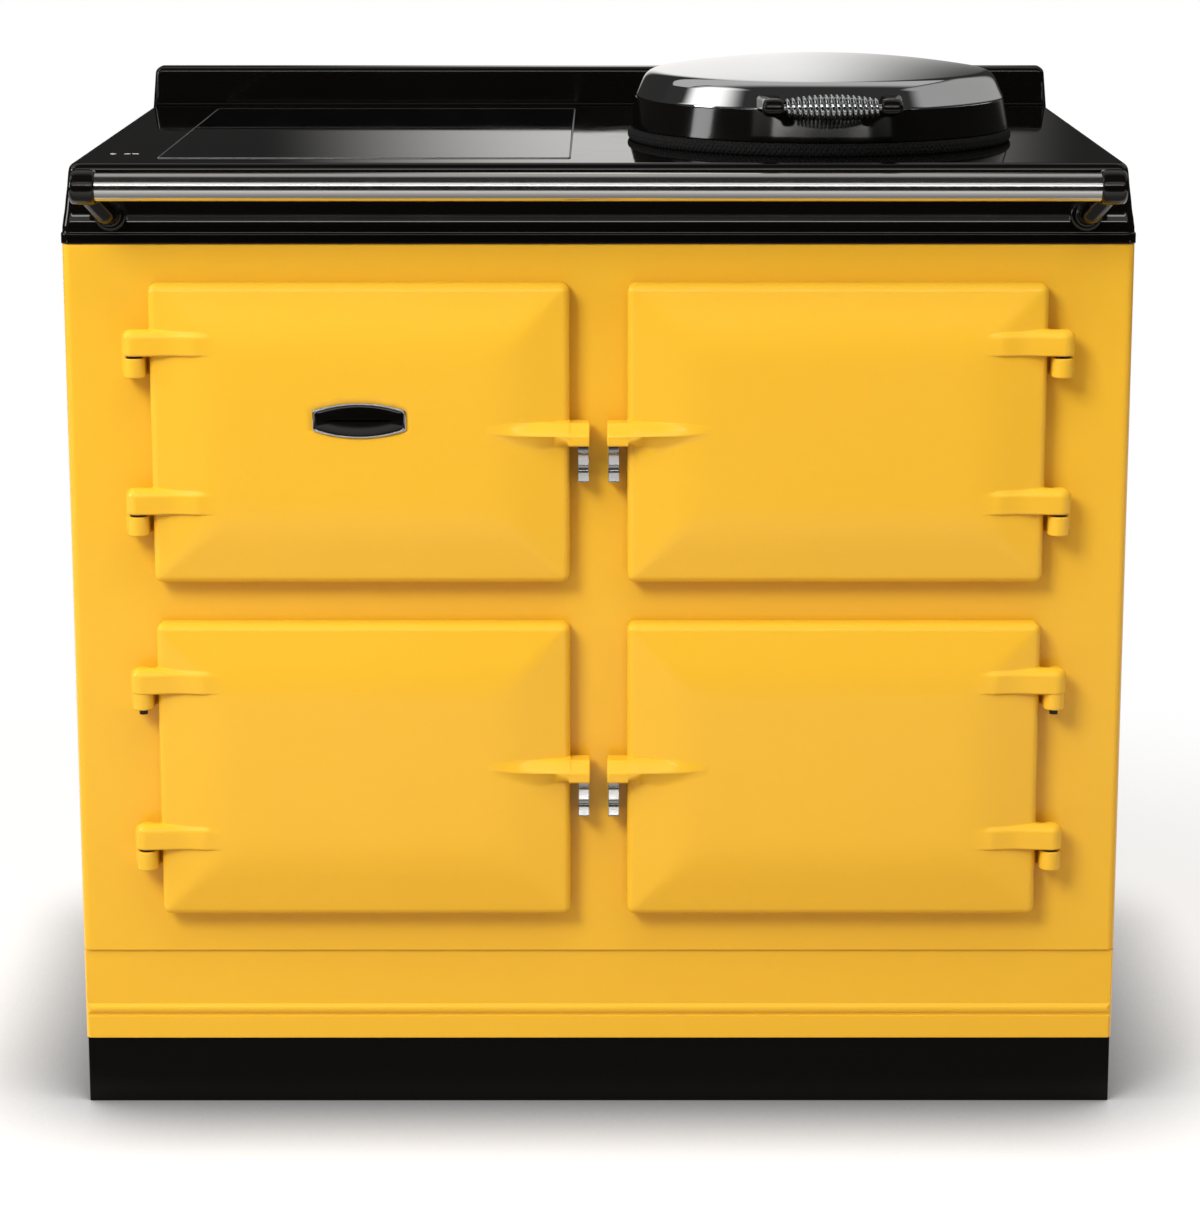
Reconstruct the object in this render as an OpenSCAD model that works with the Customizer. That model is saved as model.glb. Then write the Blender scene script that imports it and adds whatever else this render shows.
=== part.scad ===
// Free-standing cast iron range cooker: four doors, induction glass, lidded hotplate, towel rail.
// Millimetres. X to the right, Y away from the viewer, Z up. The origin is on the floor,
// midway between the sides and midway between the rail's front and the rear edge.

/* [Body] */
// Depth from the face of the front plate to the rear edge
body_d = 633; // [600:1:680]
// Plain margin of front plate outside each pair of doors
side_margin = 80; // [60:1:110]
// Thickness of the cast front plate
front_t = 12; // [8:1:16]
// How far the front plate and the base moulding return along the sides
side_return = 30; // [22:1:45]
// Radius of the upright front corners
corner_r = 8; // [3:1:14]
// Thickness of the side panels
side_t = 5; // [3:0.5:8]
// How far the back panel stands in from the rear edge
back_recess = 20; // [16:1:30]
// Thickness of the back panel and the base plate
sheet_t = 3; // [1.5:0.5:4]

/* [Plinth and feet] */
// Height of the plinth
plinth_h = 65; // [50:1:110]
// How far the plinth stands in behind the front plate
plinth_recess = 4; // [1:1:40]
// How far the plinth stands in from the sides and the rear
plinth_inset = 1.5; // [0.5:0.5:12]
// Thickness of the plinth's sheet
plinth_t = 2.5; // [1.5:0.5:4]
// Width of the plinth's folded top flange
plinth_flange = 20; // [12:1:40]
// Diameter of a levelling foot's pad
foot_d = 46; // [30:1:60]
// Thickness of a levelling foot's pad
foot_t = 8; // [5:1:14]
// Diameter of a levelling foot's stem
foot_stem_d = 12; // [8:1:16]
// Distance of each foot's centre from the outside of the body
foot_inset = 62; // [50:1:120]

/* [Base moulding] */
// Height of the base moulding
moulding_h = 88; // [70:1:110]
// How far its upper band stands behind the front plate
moulding_recess = 2.5; // [1:0.5:5]
// Height of its lower band
moulding_foot_h = 22; // [16:1:30]
// Diameter of its round bead
bead_d = 12; // [8:1:16]

/* [Doors] */
// Width of a door
door_w = 386; // [350:1:420]
// Height of the lower doors
lower_door_h = 283; // [240:1:320]
// Height of the upper doors
upper_door_h = 280; // [240:1:320]
// Width of front plate between the left and right doors
centre_gap = 53; // [50:1:70]
// Height of front plate under the lower doors
gap_below = 42; // [30:1:60]
// Height of front plate between the lower and upper doors
gap_between = 39; // [30:1:60]
// Height of front plate over the upper doors
gap_above = 34; // [25:1:50]
// Space between a closed door and the front plate
door_gap = 3; // [2:0.5:5]
// Thickness of a door at its edge
door_edge_t = 17; // [14:1:22]
// Rise of a door's crowned face from its edge to its middle
door_crown = 10; // [6:0.5:14]
// How much less the face is crowned upright than across
crown_ease = 0.8; // [0.5:0.1:2]
// Corner radius of a door
door_corner_r = 8; // [4:1:20]
// Wall of the door casting round its hollow
door_wall = 12; // [9:1:18]
// Thickness of the casting's face over the edge of its hollow
door_skin = 4; // [3:0.5:7]
// Thickness of a door liner's sheet
liner_t = 2; // [1:0.5:3]
// How far a door liner reaches into the oven's mouth
plug_depth = 8; // [4:1:12]
// Space between a door liner and the oven's mouth
plug_gap = 8; // [5:0.5:12]
// Width of a door seal
seal_w = 12; // [8:1:18]
// Small gap between faces that close on each other
shut_gap = 0.3; // [0.25:0.05:0.5]

/* [Hinges and latches] */
// Distance of a hinge pin outside its door's edge
pin_offset = 13.5; // [13:0.5:18]
// Distance of a hinge pin in front of the front plate
pin_out = 18; // [16:0.5:24]
// Diameter of a hinge pin
pin_d = 8; // [6:0.5:10]
// Radial clearance of a hinge pin in its arm
pin_clear = 0.06; // [0.02:0.01:0.1]
// Radius of a hinge arm's eye
arm_r = 11; // [9.5:0.5:12]
// Height of a hinge arm
arm_h = 24; // [18:1:30]
// How far a hinge arm runs in over the door's face
arm_reach = 50; // [35:1:70]
// Height of a hinge boss on the front plate
boss_h = 18; // [14:1:28]
// Width of a hinge boss
boss_w = 20; // [18:1:22]
// Upright play between a hinge arm and the washer under it
arm_play = 0.4; // [0.3:0.1:1]
// Thickness of the steel washer on a hinge boss
washer_t = 2; // [1:0.5:3]
// Diameter of that washer
washer_d = 15; // [13:0.5:18]
// Distance of the upper arm's middle below the door's top
arm_drop = 54; // [40:1:80]
// Distance of the lower arm's middle above the door's bottom
arm_rise = 78; // [50:1:100]
// Height of the latch lug
lug_h = 21; // [14:1:28]
// Distance from the middle of the cooker to a lug's end
lug_end = 8; // [5:0.5:10]
// How far the lug's fairing runs over the door's face
lug_reach = 90; // [60:1:120]
// Depth of the lug's block in front of the door's back
lug_out = 33; // [30:0.5:36]
// Height of the lug's middle above the middle of its door
lug_rise = 1.5; // [-10:0.5:10]
// Width of a door catch
catch_w = 10; // [6:1:11]
// Height of a door catch
catch_h = 35.6; // [26:0.2:44]
// How far a door catch stands out from the front plate
catch_out = 20; // [14:1:26]
// Gap between a catch's top and the lug above it
catch_gap = 0.5; // [0.4:0.1:1.5]

/* [Badge] */
// Width of the bare plate on the upper left door
badge_w = 86; // [60:1:110]
// Height of the bare plate
badge_h = 33; // [24:1:44]
// Height of the bare plate's straight ends
badge_end_h = 19; // [12:1:22]
// Thickness of the bare plate
badge_t = 3; // [2:0.5:4]
// Depth of the seat cut for it in the door's face
badge_seat = 1.2; // [0.8:0.1:2]

/* [Ovens] */
// Distance of an oven's mouth inside its door's sides
mouth_margin_x = 32; // [28:1:45]
// Distance of an oven's mouth inside its door's top and bottom
mouth_margin_z = 27; // [25:1:40]
// Depth of an oven behind the front plate
oven_d = 470; // [400:1:500]
// Thickness of an oven's walls
oven_t = 4; // [2:0.5:6]
// Width of the flange that bolts an oven to the front plate
oven_flange = 12; // [6:1:14]
// Width of the ledges that carry a shelf
ledge_w = 9; // [6:1:12]
// Thickness of those ledges
ledge_t = 3; // [2:0.5:4]
// Height of a shelf's ledge above the oven's floor
shelf_rise = 70; // [40:1:100]
// Diameter of a shelf's side bars
shelf_bar_d = 6; // [5:0.5:8]
// Diameter of a shelf's front and rear bars
shelf_end_d = 5; // [4:0.5:6]
// Diameter of a shelf's cross wires
shelf_wire_d = 4; // [2:0.5:5]
// Spacing of a shelf's cross wires
shelf_pitch = 24; // [16:1:40]
// Diameter of an oven element's tube
element_d = 8; // [6:0.5:10]
// Distance of an oven element below the roof
element_drop = 14; // [10:1:24]

/* [Controls] */
// Depth of the compartment in front of the fascia
fascia_depth = 52; // [45:1:70]
// Depth of the controls box behind the front plate
control_d = 160; // [120:1:200]
// Thickness of the controls fascia
fascia_t = 3; // [2:0.5:4]
// Diameter of a control knob
knob_d = 42; // [30:1:50]
// Length of a control knob
knob_l = 24; // [16:1:26]
// Width of a knob's finger bar
knob_bar = 11; // [8:1:16]
// Spacing of the control knobs
knob_pitch = 72; // [60:1:74]
// Gap between a knob and the fascia
knob_gap = 1; // [0.5:0.1:2]
// Diameter of a knob's spindle
spindle_d = 6; // [5:0.5:8]
// Radial clearance of a spindle in its knob
spindle_clear = 0.06; // [0.02:0.01:0.1]
// Radial clearance of a spindle in the fascia
fascia_clear = 0.6; // [0.4:0.1:1.5]
// How far a spindle goes into its knob
spindle_in = 14; // [8:1:14]
// Side of a rotary switch's body
switch_w = 32; // [24:1:40]
// Diameter of an indicator lamp
lamp_d = 8; // [5:0.5:10]
// Height of the lamps above the knobs' centres
lamp_rise = 55; // [36:1:70]

/* [Hob casting] */
// Height of the hob casting
top_h = 74; // [64:1:90]
// Thickness of the hob casting's deck and skirt
top_t = 8; // [6:0.5:12]
// How far its bottom lip stands proud of the body
lip_out = 1; // [0.5:0.5:3]
// Height of its bottom lip
lip_h = 10; // [6:1:16]
// How far its sides lean in towards the top
side_lean = 9; // [2:0.5:14]
// Height of the nose along its front edge
nose_h = 9; // [6:0.5:14]
// Radius of the hollow under the nose
cove_r = 26; // [16:1:30]
// How far the nose stands in from the front plate's face
nose_in = 1; // [0.5:0.5:4]
// Depth of the hollow under the nose
cove_d = 4; // [2:0.5:6]
// Height of the rear upstand
upstand_h = 42; // [25:1:60]
// Thickness of the rear upstand
upstand_t = 24; // [16:1:32]
// How far the upstand's ends lean in
upstand_lean = 3; // [0:0.5:8]
// Radius of the upstand's upper corners
upstand_r = 8; // [3:1:14]

/* [Towel rail] */
// Diameter of the rail
rail_d = 26; // [18:1:34]
// Wall of the rail's tube
rail_wall = 2; // [1.5:0.5:4]
// Distance of the rail's centre in front of the front plate
rail_out = 52; // [40:1:70]
// Height of the rail's centre below the hob's surface
rail_drop = 16; // [8:1:30]
// Length of the rail that shows between its brackets
rail_l = 906; // [700:2:930]
// Width of a rail bracket's end cup
cup_w = 21; // [14:1:24]
// Wall of a rail bracket's end cup
cup_wall = 3.2; // [2:0.2:6]
// How far the rail goes into a cup
rail_in = 14; // [8:1:14]
// Diameter of a bracket's foot on the hob casting
rail_foot_d = 30; // [24:1:32]
// Thickness of that foot
rail_foot_t = 5; // [3:1:8]
// Distance of that foot's centre from the side of the body
rail_foot_in = 46; // [38:1:60]
// Height of that foot's centre below the hob's surface
rail_foot_drop = 47; // [44:1:52]
// Diameter of a bracket's stem
rail_stem_d = 19; // [14:1:24]

/* [Induction glass] */
// Distance of the glass's left edge from the side of the body
glass_side = 85.5; // [75:0.5:120]
// Depth of the glass
glass_l = 516; // [440:1:540]
// Thickness of the glass
glass_t = 6; // [4:0.5:8]
// Distance of the glass behind the hob's front edge
glass_back = 44; // [35:1:70]
// Distance of the glass's right edge from the middle of the cooker
glass_in = 27; // [20:1:60]
// How far the glass stands above the deck
glass_proud = 1; // [0.5:0.1:2]
// Width of the ledge that carries the glass
glass_ledge = 10; // [6:1:16]
// Gap round the glass
glass_gap = 0.6; // [0.3:0.1:1.5]
// Depth of the induction tray below the deck
tray_d = 45; // [36:1:55]
// Thickness of the induction tray
tray_t = 2; // [1:0.5:3]
// Diameter of the rear induction coil
big_coil_d = 210; // [180:1:230]
// Diameter of the front induction coil
small_coil_d = 180; // [145:1:200]
// Thickness of an induction coil
coil_t = 10; // [6:1:14]
// Distance of a touch lamp from the side of the body
touch_in = 38; // [30:1:60]
// Distance of the touch lamps behind the hob's front edge
touch_back = 86; // [60:1:110]
// Diameter of the touch lamp
touch_d = 6; // [4:0.5:9]

/* [Hotplate] */
// Distance of the hotplate's centre to the right of the middle
plate_x = 215; // [205:1:240]
// Distance of the hotplate's centre behind the hob's front edge
plate_back = 242; // [225:1:300]
// Radius of the hotplate
plate_r = 160; // [140:1:164]
// Thickness of the hotplate
plate_t = 30; // [20:1:34]
// How far the hotplate stands above the deck
plate_proud = 4; // [2:0.5:6]
// Gap round the hotplate
plate_gap = 5; // [3:0.5:6]
// Wall of the insulated cup that carries the hotplate
cup_insulation = 6; // [5:0.5:10]
// Depth of the cup below the element
cup_base = 18; // [12:1:30]
// Thickness of the hotplate's element
ring_t = 10; // [6:1:14]
// Thickness of the bright rim ring
rim_t = 2; // [1:0.5:3]
// Width of the bright rim ring
rim_w = 9; // [7:0.5:10]
// Width of the rope seal
rope_w = 10; // [7:1:12]
// Height of the rope seal above the deck
rope_h = 12; // [8:1:16]

/* [Lid] */
// Radius of the lid's band at its foot
band_r = 184; // [182:1:192]
// Height of the lid's black band
band_h = 29; // [20:1:36]
// How far the band leans in over its height
band_lean = 5; // [2:0.5:8]
// Width of the band's section
band_w = 12; // [8:1:16]
// Height of the dome's bright bevel
bevel_h = 25; // [16:1:32]
// How far the bevel leans in
bevel_lean = 11; // [6:0.5:16]
// Rise of the dome above its bevel
dome_rise = 15; // [8:1:24]
// Thickness of the dome's shell
dome_t = 3; // [2:0.5:5]
// Thickness of the lid liner
lid_liner_t = 2; // [1:0.5:3]
// Distance of the coil handle's axis in front of the lid's band
handle_out = 30; // [26:1:40]
// Height of the coil handle's axis above the deck
handle_z = 48; // [42:1:56]
// Length of the coil between its brackets
handle_l = 89; // [70:1:110]
// Diameter of the rod inside the coil
handle_rod_d = 6.4; // [5:0.2:7]
// Diameter of the coil's wire
wire_d = 3.2; // [2.4:0.1:3.6]
// Turns of the coil
coil_turns = 14; // [8:1:16]
// Outer diameter of the coil at its middle
coil_mid_d = 24; // [20:0.5:28]
// Outer diameter of the coil at its ends
coil_end_d = 15; // [14.4:0.1:18]
// Diameter of a handle bracket's collar
collar_d = 17; // [15:0.5:20]
// Length of a handle bracket's collar
collar_l = 20; // [12:1:24]
// Width of a handle bracket's root on the lid
bracket_root = 32; // [24:1:44]
// Height of a handle bracket's root
bracket_h = 20; // [14:1:24]
// Distance of the lid's pin behind the lid's band
lid_pin_back = 24; // [20:1:34]
// Height of the lid's pin above the deck
lid_pin_z = 24; // [20:1:30]
// Diameter of the lid's pin
lid_pin_d = 8; // [6:0.5:10]
// Width of the lid's hinge arm
hinge_w = 60; // [40:1:90]
// Radius of the lid hinge's eyes
eye_r = 11; // [9:0.5:13]
// Thickness of an ear of the lid's hinge bracket
ear_t = 10; // [7:1:14]
// Side play between the hinge arm and the ears
ear_play = 0.5; // [0.3:0.1:1.5]

/* [Rear] */
// Width of the terminal box
terminal_w = 120; // [90:1:160]
// Height of the terminal box
terminal_h = 90; // [60:1:120]
// Depth of the terminal box
terminal_d = 16; // [12:1:18]
// Height of the terminal box above the base plate
terminal_rise = 60; // [50:1:110]
// Diameter of the cable gland
gland_d = 15; // [10:1:15]
// Length of the cable gland
gland_l = 18; // [12:1:26]
// Diameter of a casing screw's head
screw_d = 9; // [6:0.5:12]
// Thickness of a casing screw's head
screw_t = 2.5; // [1.5:0.5:4]
// Distance of the screws from the edge of the back panel
screw_in = 14; // [12:1:24]

/* [Hidden] */
$fn = 96;
FINE = 360;

YELLOW = "#F0B830";
BLACK = "#141210";
STEEL = "#B9BCC0";
CHROME = "#D8DADC";
IRON = "#3A3A3C";
ROPE = "#2A2A28";
WOOL = "#CFC9B8";
COPPER = "#B5703C";

// Upright stack
moulding_z = plinth_h;
front_z = moulding_z + moulding_h;
lower_z = front_z + gap_below;
upper_z = lower_z + lower_door_h + gap_between;
top_z = upper_z + upper_door_h + gap_above;
hob_z = top_z + top_h;

// Plan
body_w = 2 * (door_w + side_margin) + centre_gap;
half_w = body_w / 2;
front_y = (rail_out + rail_d / 2 + cup_wall - body_d) / 2;
rear_y = front_y + body_d;
back_y = rear_y - back_recess;
inner_y = front_y + front_t;
inner_w = half_w - side_t;
hob_y = front_y + nose_in;
door_x = centre_gap / 2;
pin_x = door_x + door_w + pin_offset;
deck_z = hob_z - top_t;
rail_y = front_y - rail_out;
rail_z = hob_z - rail_drop;

// Oven mouths, measured from a door's latch side and bottom
mouth_w = door_w - 2 * mouth_margin_x;

// Hob pieces
glass_x1 = -glass_in;
glass_x0 = -half_w + glass_side;
glass_w = glass_x1 - glass_x0;
glass_y0 = hob_y + glass_back;
plate_y = hob_y + plate_back;
cup_r = plate_r + plate_gap;
rim_r = plate_r + 1;
rope_r = band_r + 3;
ring_z = hob_z + plate_proud - plate_t - ring_t;

// Lid
lid_z = hob_z + rope_h + shut_gap;
band_top_r = band_r - band_lean;
bevel_z = lid_z + band_h;
dome_z = bevel_z + bevel_h;
dome_r = band_top_r - bevel_lean;
dome_ball = (dome_r * dome_r + dome_rise * dome_rise) / (2 * dome_rise);
handle_y = plate_y - band_r - handle_out;
handle_mid_z = hob_z + handle_z;
lid_pin_y = plate_y + band_r + lid_pin_back;
pin_mid_z = hob_z + lid_pin_z;

// Controls, in the mouth of the upper left door
fascia_y = inner_y + fascia_depth;
knob_z = upper_z + upper_door_h / 2 - 15;
knob_xs = [for (i = [0 : 3]) -door_x - door_w / 2 + (i - 1.5) * knob_pitch];

// Plain helpers ------------------------------------------------------------------------------

module block(x0, x1, y0, y1, z0, z1) {
    translate([x0, y0, z0]) cube([x1 - x0, y1 - y0, z1 - z0]);
}

// Both sides of the cooker
module both_sides() {
    children();
    mirror([1, 0, 0]) children();
}

// Flat outline with round corners, from its lower left corner
module round_rect(w, h, r) {
    translate([r, 0]) square([w - 2 * r, h]);
    translate([0, r]) square([w, h - 2 * r]);
    for (x = [r, w - r], y = [r, h - r]) translate([x, y]) circle(r);
}

// Outline drawn in X and Z, standing from y1 forward to y0
module stand_up(y0, y1) {
    translate([0, y1, 0]) rotate([90, 0, 0]) linear_extrude(y1 - y0) children();
}

// Outline drawn in Y and Z, laid along X
module lay_along(x0, x1) {
    translate([x0, 0, 0]) rotate([90, 0, 90]) linear_extrude(x1 - x0) children();
}

module rod_x(x0, x1, y, z, r) {
    translate([x0, y, z]) rotate([0, 90, 0]) cylinder(h = x1 - x0, r = r);
}

module rod_y(x, y0, y1, z, r) {
    translate([x, y1, z]) rotate([90, 0, 0]) cylinder(h = y1 - y0, r = r);
}

// Plan of the body with round front corners, grown outwards by grow
module body_plan(grow, y1) {
    w = half_w + grow;
    y0 = front_y - grow;
    difference() {
        translate([-w, y0]) square([2 * w, y1 - y0]);
        for (s = [0, 1]) mirror([s, 0]) difference() {
            translate([w - corner_r, y0 - 1]) square([corner_r + 1, corner_r + 1]);
            translate([w - corner_r, y0 + corner_r]) circle(corner_r);
        }
    }
}

// Base and casing ------------------------------------------------------------------------------

module plinth() {
    w = half_w - plinth_inset;
    y0 = front_y + plinth_recess;
    y1 = rear_y - plinth_inset;
    color(BLACK) difference() {
        block(-w, w, y0, y1, 0, plinth_h);
        block(-w + plinth_t, w - plinth_t, y0 + plinth_t, y1 - plinth_t, -1, plinth_h - plinth_t);
        block(-w + plinth_flange, w - plinth_flange, y0 + plinth_flange, y1 - plinth_flange, 0, plinth_h + 1);
    }
}

module levelling_feet() {
    nut_h = 10;
    color(STEEL) both_sides() for (y = [front_y + foot_inset, rear_y - foot_inset])
        translate([half_w - foot_inset, y, 0]) {
            cylinder(h = foot_t, d = foot_d);
            translate([0, 0, foot_t]) cylinder(h = plinth_h - foot_t, d = foot_stem_d);
            translate([0, 0, plinth_h - nut_h]) cylinder(h = nut_h, r = foot_stem_d, $fn = 6);
        }
}

module base_plate() {
    color(STEEL) block(-inner_w, inner_w, inner_y, back_y - sheet_t, plinth_h, plinth_h + sheet_t);
}

module base_moulding() {
    face_y = front_y + moulding_recess;
    bead_z = moulding_z + moulding_foot_h + bead_d / 2 + 1;
    color(YELLOW) difference() {
        intersection() {
            translate([0, 0, moulding_z]) linear_extrude(moulding_h) body_plan(0, front_y + side_return);
            union() {
                lay_along(-half_w, half_w) {
                    translate([face_y, moulding_z]) square([side_return, moulding_h]);
                    translate([face_y - 1.5, moulding_z]) square([side_return, moulding_foot_h]);
                    translate([front_y + bead_d / 2, bead_z]) circle(bead_d / 2);
                }
            }
        }
        block(-inner_w, inner_w, inner_y, front_y + side_return + 1, moulding_z - 1, front_z + 1);
    }
}

// A hinge boss, under each arm
module hinge_boss(z1) {
    difference() {
        union() {
            translate([pin_x, front_y - pin_out, z1 - boss_h]) cylinder(h = boss_h, r = boss_w / 2);
            block(pin_x - boss_w / 2, pin_x + boss_w / 2, front_y - pin_out, front_y, z1 - boss_h, z1);
        }
        translate([pin_x, front_y - pin_out, z1 - boss_h - 1]) cylinder(h = boss_h + 2, r = pin_d / 2);
    }
}

// Heights of the undersides of the two hinge arms on a door that starts at z and is h tall
function arm_feet(z, h) = [z + arm_rise - arm_h / 2, z + h - arm_drop - arm_h / 2];

module hinge_bosses() {
    color(YELLOW) both_sides() for (d = [[lower_z, lower_door_h], [upper_z, upper_door_h]])
        for (foot = arm_feet(d[0], d[1])) hinge_boss(foot - arm_play - washer_t);
}

module front_plate() {
    color(YELLOW) difference() {
        translate([0, 0, front_z]) linear_extrude(top_z - front_z) body_plan(0, front_y + side_return);
        block(-inner_w, inner_w, inner_y, front_y + side_return + 1, front_z - 1, top_z + 1);
        both_sides() for (d = [[lower_z, lower_door_h], [upper_z, upper_door_h]])
            translate([door_x + mouth_margin_x, 0, d[0] + mouth_margin_z])
                stand_up(front_y - 1, inner_y + 1) square([mouth_w, d[1] - 2 * mouth_margin_z]);
    }
}

module side_panels() {
    color(YELLOW) both_sides()
        block(inner_w, half_w, front_y + side_return, rear_y, plinth_h, top_z);
}

module back_panel() {
    color(STEEL) block(-inner_w, inner_w, back_y - sheet_t, back_y, plinth_h, top_z);
}

module casing_screws() {
    xs = [for (i = [0 : 3]) -inner_w + screw_in + i * (inner_w - screw_in) * 2 / 3];
    color(STEEL) for (x = xs, z = [plinth_h + screw_in, top_z - screw_in])
        rod_y(x, back_y, back_y + screw_t, z, screw_d / 2);
}

module terminal_box() {
    x1 = inner_w - 60;
    z0 = plinth_h + terminal_rise;
    color(BLACK) {
        block(x1 - terminal_w, x1, back_y, back_y + terminal_d, z0, z0 + terminal_h);
        translate([x1 - terminal_w / 2, back_y + gland_d / 2, z0 - gland_l]) difference() {
            cylinder(h = gland_l, r = gland_d / 2);
            translate([0, 0, -1]) cylinder(h = gland_l, r = gland_d / 4);
        }
    }
}

// Hob ------------------------------------------------------------------------------------------

// Side view of the hob casting: bottom lip, upright face, hollow, nose
module top_profile() {
    cove_z = hob_z - nose_h - cove_r * 0.72;
    difference() {
        union() {
            translate([front_y - lip_out, top_z]) square([body_d + lip_out, lip_h]);
            translate([front_y + nose_in, top_z]) square([body_d - nose_in, top_h]);
        }
        translate([front_y + nose_in + cove_d - cove_r, cove_z]) circle(cove_r, $fn = FINE);
    }
}

// Front view of the hob casting, with leaning sides over the bottom lip
module top_outline() {
    w = half_w + lip_out;
    polygon([[-w, top_z], [w, top_z], [w, top_z + lip_h], [half_w, top_z + lip_h],
             [half_w - side_lean, hob_z], [-half_w + side_lean, hob_z],
             [-half_w, top_z + lip_h], [-w, top_z + lip_h]]);
}

module top_plate() {
    color(BLACK) difference() {
        intersection() {
            lay_along(-half_w - lip_out, half_w + lip_out) top_profile();
            stand_up(front_y - lip_out, rear_y) top_outline();
            translate([0, 0, top_z]) linear_extrude(top_h) body_plan(lip_out, rear_y);
        }
        block(-half_w + side_lean + top_t, half_w - side_lean - top_t,
              front_y + cove_d + top_t, rear_y - top_t, top_z - 1, deck_z);
        // Opening for the glass, with a ledge under its edge
        translate([glass_x0 - glass_gap, glass_y0 - glass_gap, hob_z + glass_proud - glass_t])
            cube([glass_w + 2 * glass_gap, glass_l + 2 * glass_gap, glass_t + 1]);
        translate([glass_x0 + glass_ledge, glass_y0 + glass_ledge, deck_z - 1])
            cube([glass_w - 2 * glass_ledge, glass_l - 2 * glass_ledge, top_t + 2]);
        // Opening for the hotplate
        translate([plate_x, plate_y, deck_z - 1]) cylinder(h = top_t + 2, r = cup_r, $fn = FINE);
        // Seats of the touch lamps
        touch_marks(deck_z - 1, hob_z + 1, 0);
    }
}

module touch_marks(z0, z1, shrink) {
    x = -half_w + touch_in;
    y = hob_y + touch_back;
    translate([x, y, z0]) cylinder(h = z1 - z0, r = touch_d / 2 - shrink);
    for (i = [1, 2]) translate([x + touch_d * (0.9 + 1.3 * i) - touch_d / 2 + shrink, y - touch_d / 6 + shrink / 2, z0])
        cube([touch_d - 2 * shrink, touch_d / 3 - shrink, z1 - z0]);
}

module rear_upstand() {
    w = half_w - side_lean;
    r = upstand_r;
    z1 = hob_z + upstand_h;
    tip = w - upstand_lean;
    color(BLACK) difference() {
        stand_up(rear_y - upstand_t, rear_y)
            polygon([[-w, hob_z], [w, hob_z], [tip, z1], [-tip, z1]]);
        both_sides() stand_up(rear_y - upstand_t - 1, rear_y + 1) difference() {
            translate([tip - r, z1 - r]) square([r + upstand_lean + 1, r + 1]);
            translate([tip - r, z1 - r]) circle(r);
        }
    }
}

module towel_rail() {
    end = rail_l / 2 + rail_in;
    color(CHROME) difference() {
        rod_x(-end, end, rail_y, rail_z, rail_d / 2);
        rod_x(-end - 1, end + 1, rail_y, rail_z, rail_d / 2 - rail_wall);
    }
}

module rail_brackets() {
    cup_x = rail_l / 2;
    foot_x = half_w - rail_foot_in;
    foot_z = hob_z - rail_foot_drop;
    color(BLACK) both_sides() difference() {
        union() {
            rod_x(cup_x, cup_x + cup_w, rail_y, rail_z, rail_d / 2 + cup_wall);
            hull() {
                translate([cup_x + cup_w / 2, rail_y + 4, rail_z - 4]) sphere(rail_stem_d / 2, $fn = 28);
                translate([foot_x, (rail_y + front_y) / 2, foot_z + 2]) sphere(rail_stem_d / 2, $fn = 28);
            }
            rod_y(foot_x, (rail_y + front_y) / 2, front_y + nose_in, foot_z, rail_stem_d / 2);
            rod_y(foot_x, front_y + nose_in - rail_foot_t, front_y + nose_in, foot_z, rail_foot_d / 2);
        }
        rod_x(cup_x - 1, cup_x + rail_in, rail_y, rail_z, rail_d / 2);
        block(cup_x - 30, cup_x, rail_y - 30, rail_y + rail_d / 2 + 0.5, rail_z - rail_d / 2 - 0.5, rail_z + 30);
        lay_along(foot_x - 40, foot_x + 40) top_profile();
    }
}

module hob_glass() {
    color("#1B1D20") translate([glass_x0, glass_y0, hob_z + glass_proud - glass_t])
        cube([glass_w, glass_l, glass_t]);
}

module induction_tray() {
    x0 = glass_x0 - glass_ledge;
    x1 = glass_x1 + glass_ledge;
    y0 = glass_y0 - glass_ledge;
    y1 = glass_y0 + glass_l + glass_ledge;
    z0 = deck_z - tray_d;
    color(STEEL) difference() {
        block(x0, x1, y0, y1, z0, deck_z);
        block(x0 + tray_t, x1 - tray_t, y0 + tray_t, y1 - tray_t, z0 + tray_t, deck_z + 1);
    }
}

module induction_coils() {
    x = (glass_x0 + glass_x1) / 2;
    z1 = hob_z + glass_proud - glass_t;
    z0 = deck_z - tray_d + tray_t;
    color(COPPER) for (c = [[0.26, small_coil_d], [0.72, big_coil_d]])
        translate([x, glass_y0 + glass_l * c[0], 0]) {
            translate([0, 0, z1 - coil_t]) difference() {
                cylinder(h = coil_t, d = c[1]);
                translate([0, 0, -1]) cylinder(h = coil_t + 2, d = 50);
            }
            translate([0, 0, z0]) cylinder(h = z1 - coil_t - z0, d = 70);
        }
}

module hotplate() {
    color(IRON) translate([plate_x, plate_y, ring_z + ring_t])
        cylinder(h = plate_t, r = plate_r, $fn = FINE);
}

module ring(r0, r1, z0, z1) {
    translate([plate_x, plate_y, 0]) rotate_extrude($fn = FINE)
        translate([r0, z0]) square([r1 - r0, z1 - z0]);
}

module hotplate_rim() {
    color(CHROME) ring(rim_r, rim_r + rim_w, hob_z, hob_z + rim_t);
}

module hotplate_seal() {
    color(ROPE) translate([plate_x, plate_y, 0]) rotate_extrude($fn = FINE)
        translate([rope_r - rope_w, hob_z]) {
            square([rope_w, rope_h - 3]);
            translate([3, 0]) square([rope_w - 6, rope_h]);
            for (x = [3, rope_w - 3]) translate([x, rope_h - 3]) circle(3, $fn = 24);
        }
}

module hotplate_cup() {
    z0 = ring_z - cup_base;
    color(WOOL) translate([plate_x, plate_y, 0]) rotate_extrude($fn = FINE) {
        translate([0, z0]) square([cup_r + cup_insulation, cup_base]);
        translate([cup_r, z0]) square([cup_insulation, deck_z - z0]);
    }
}

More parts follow.
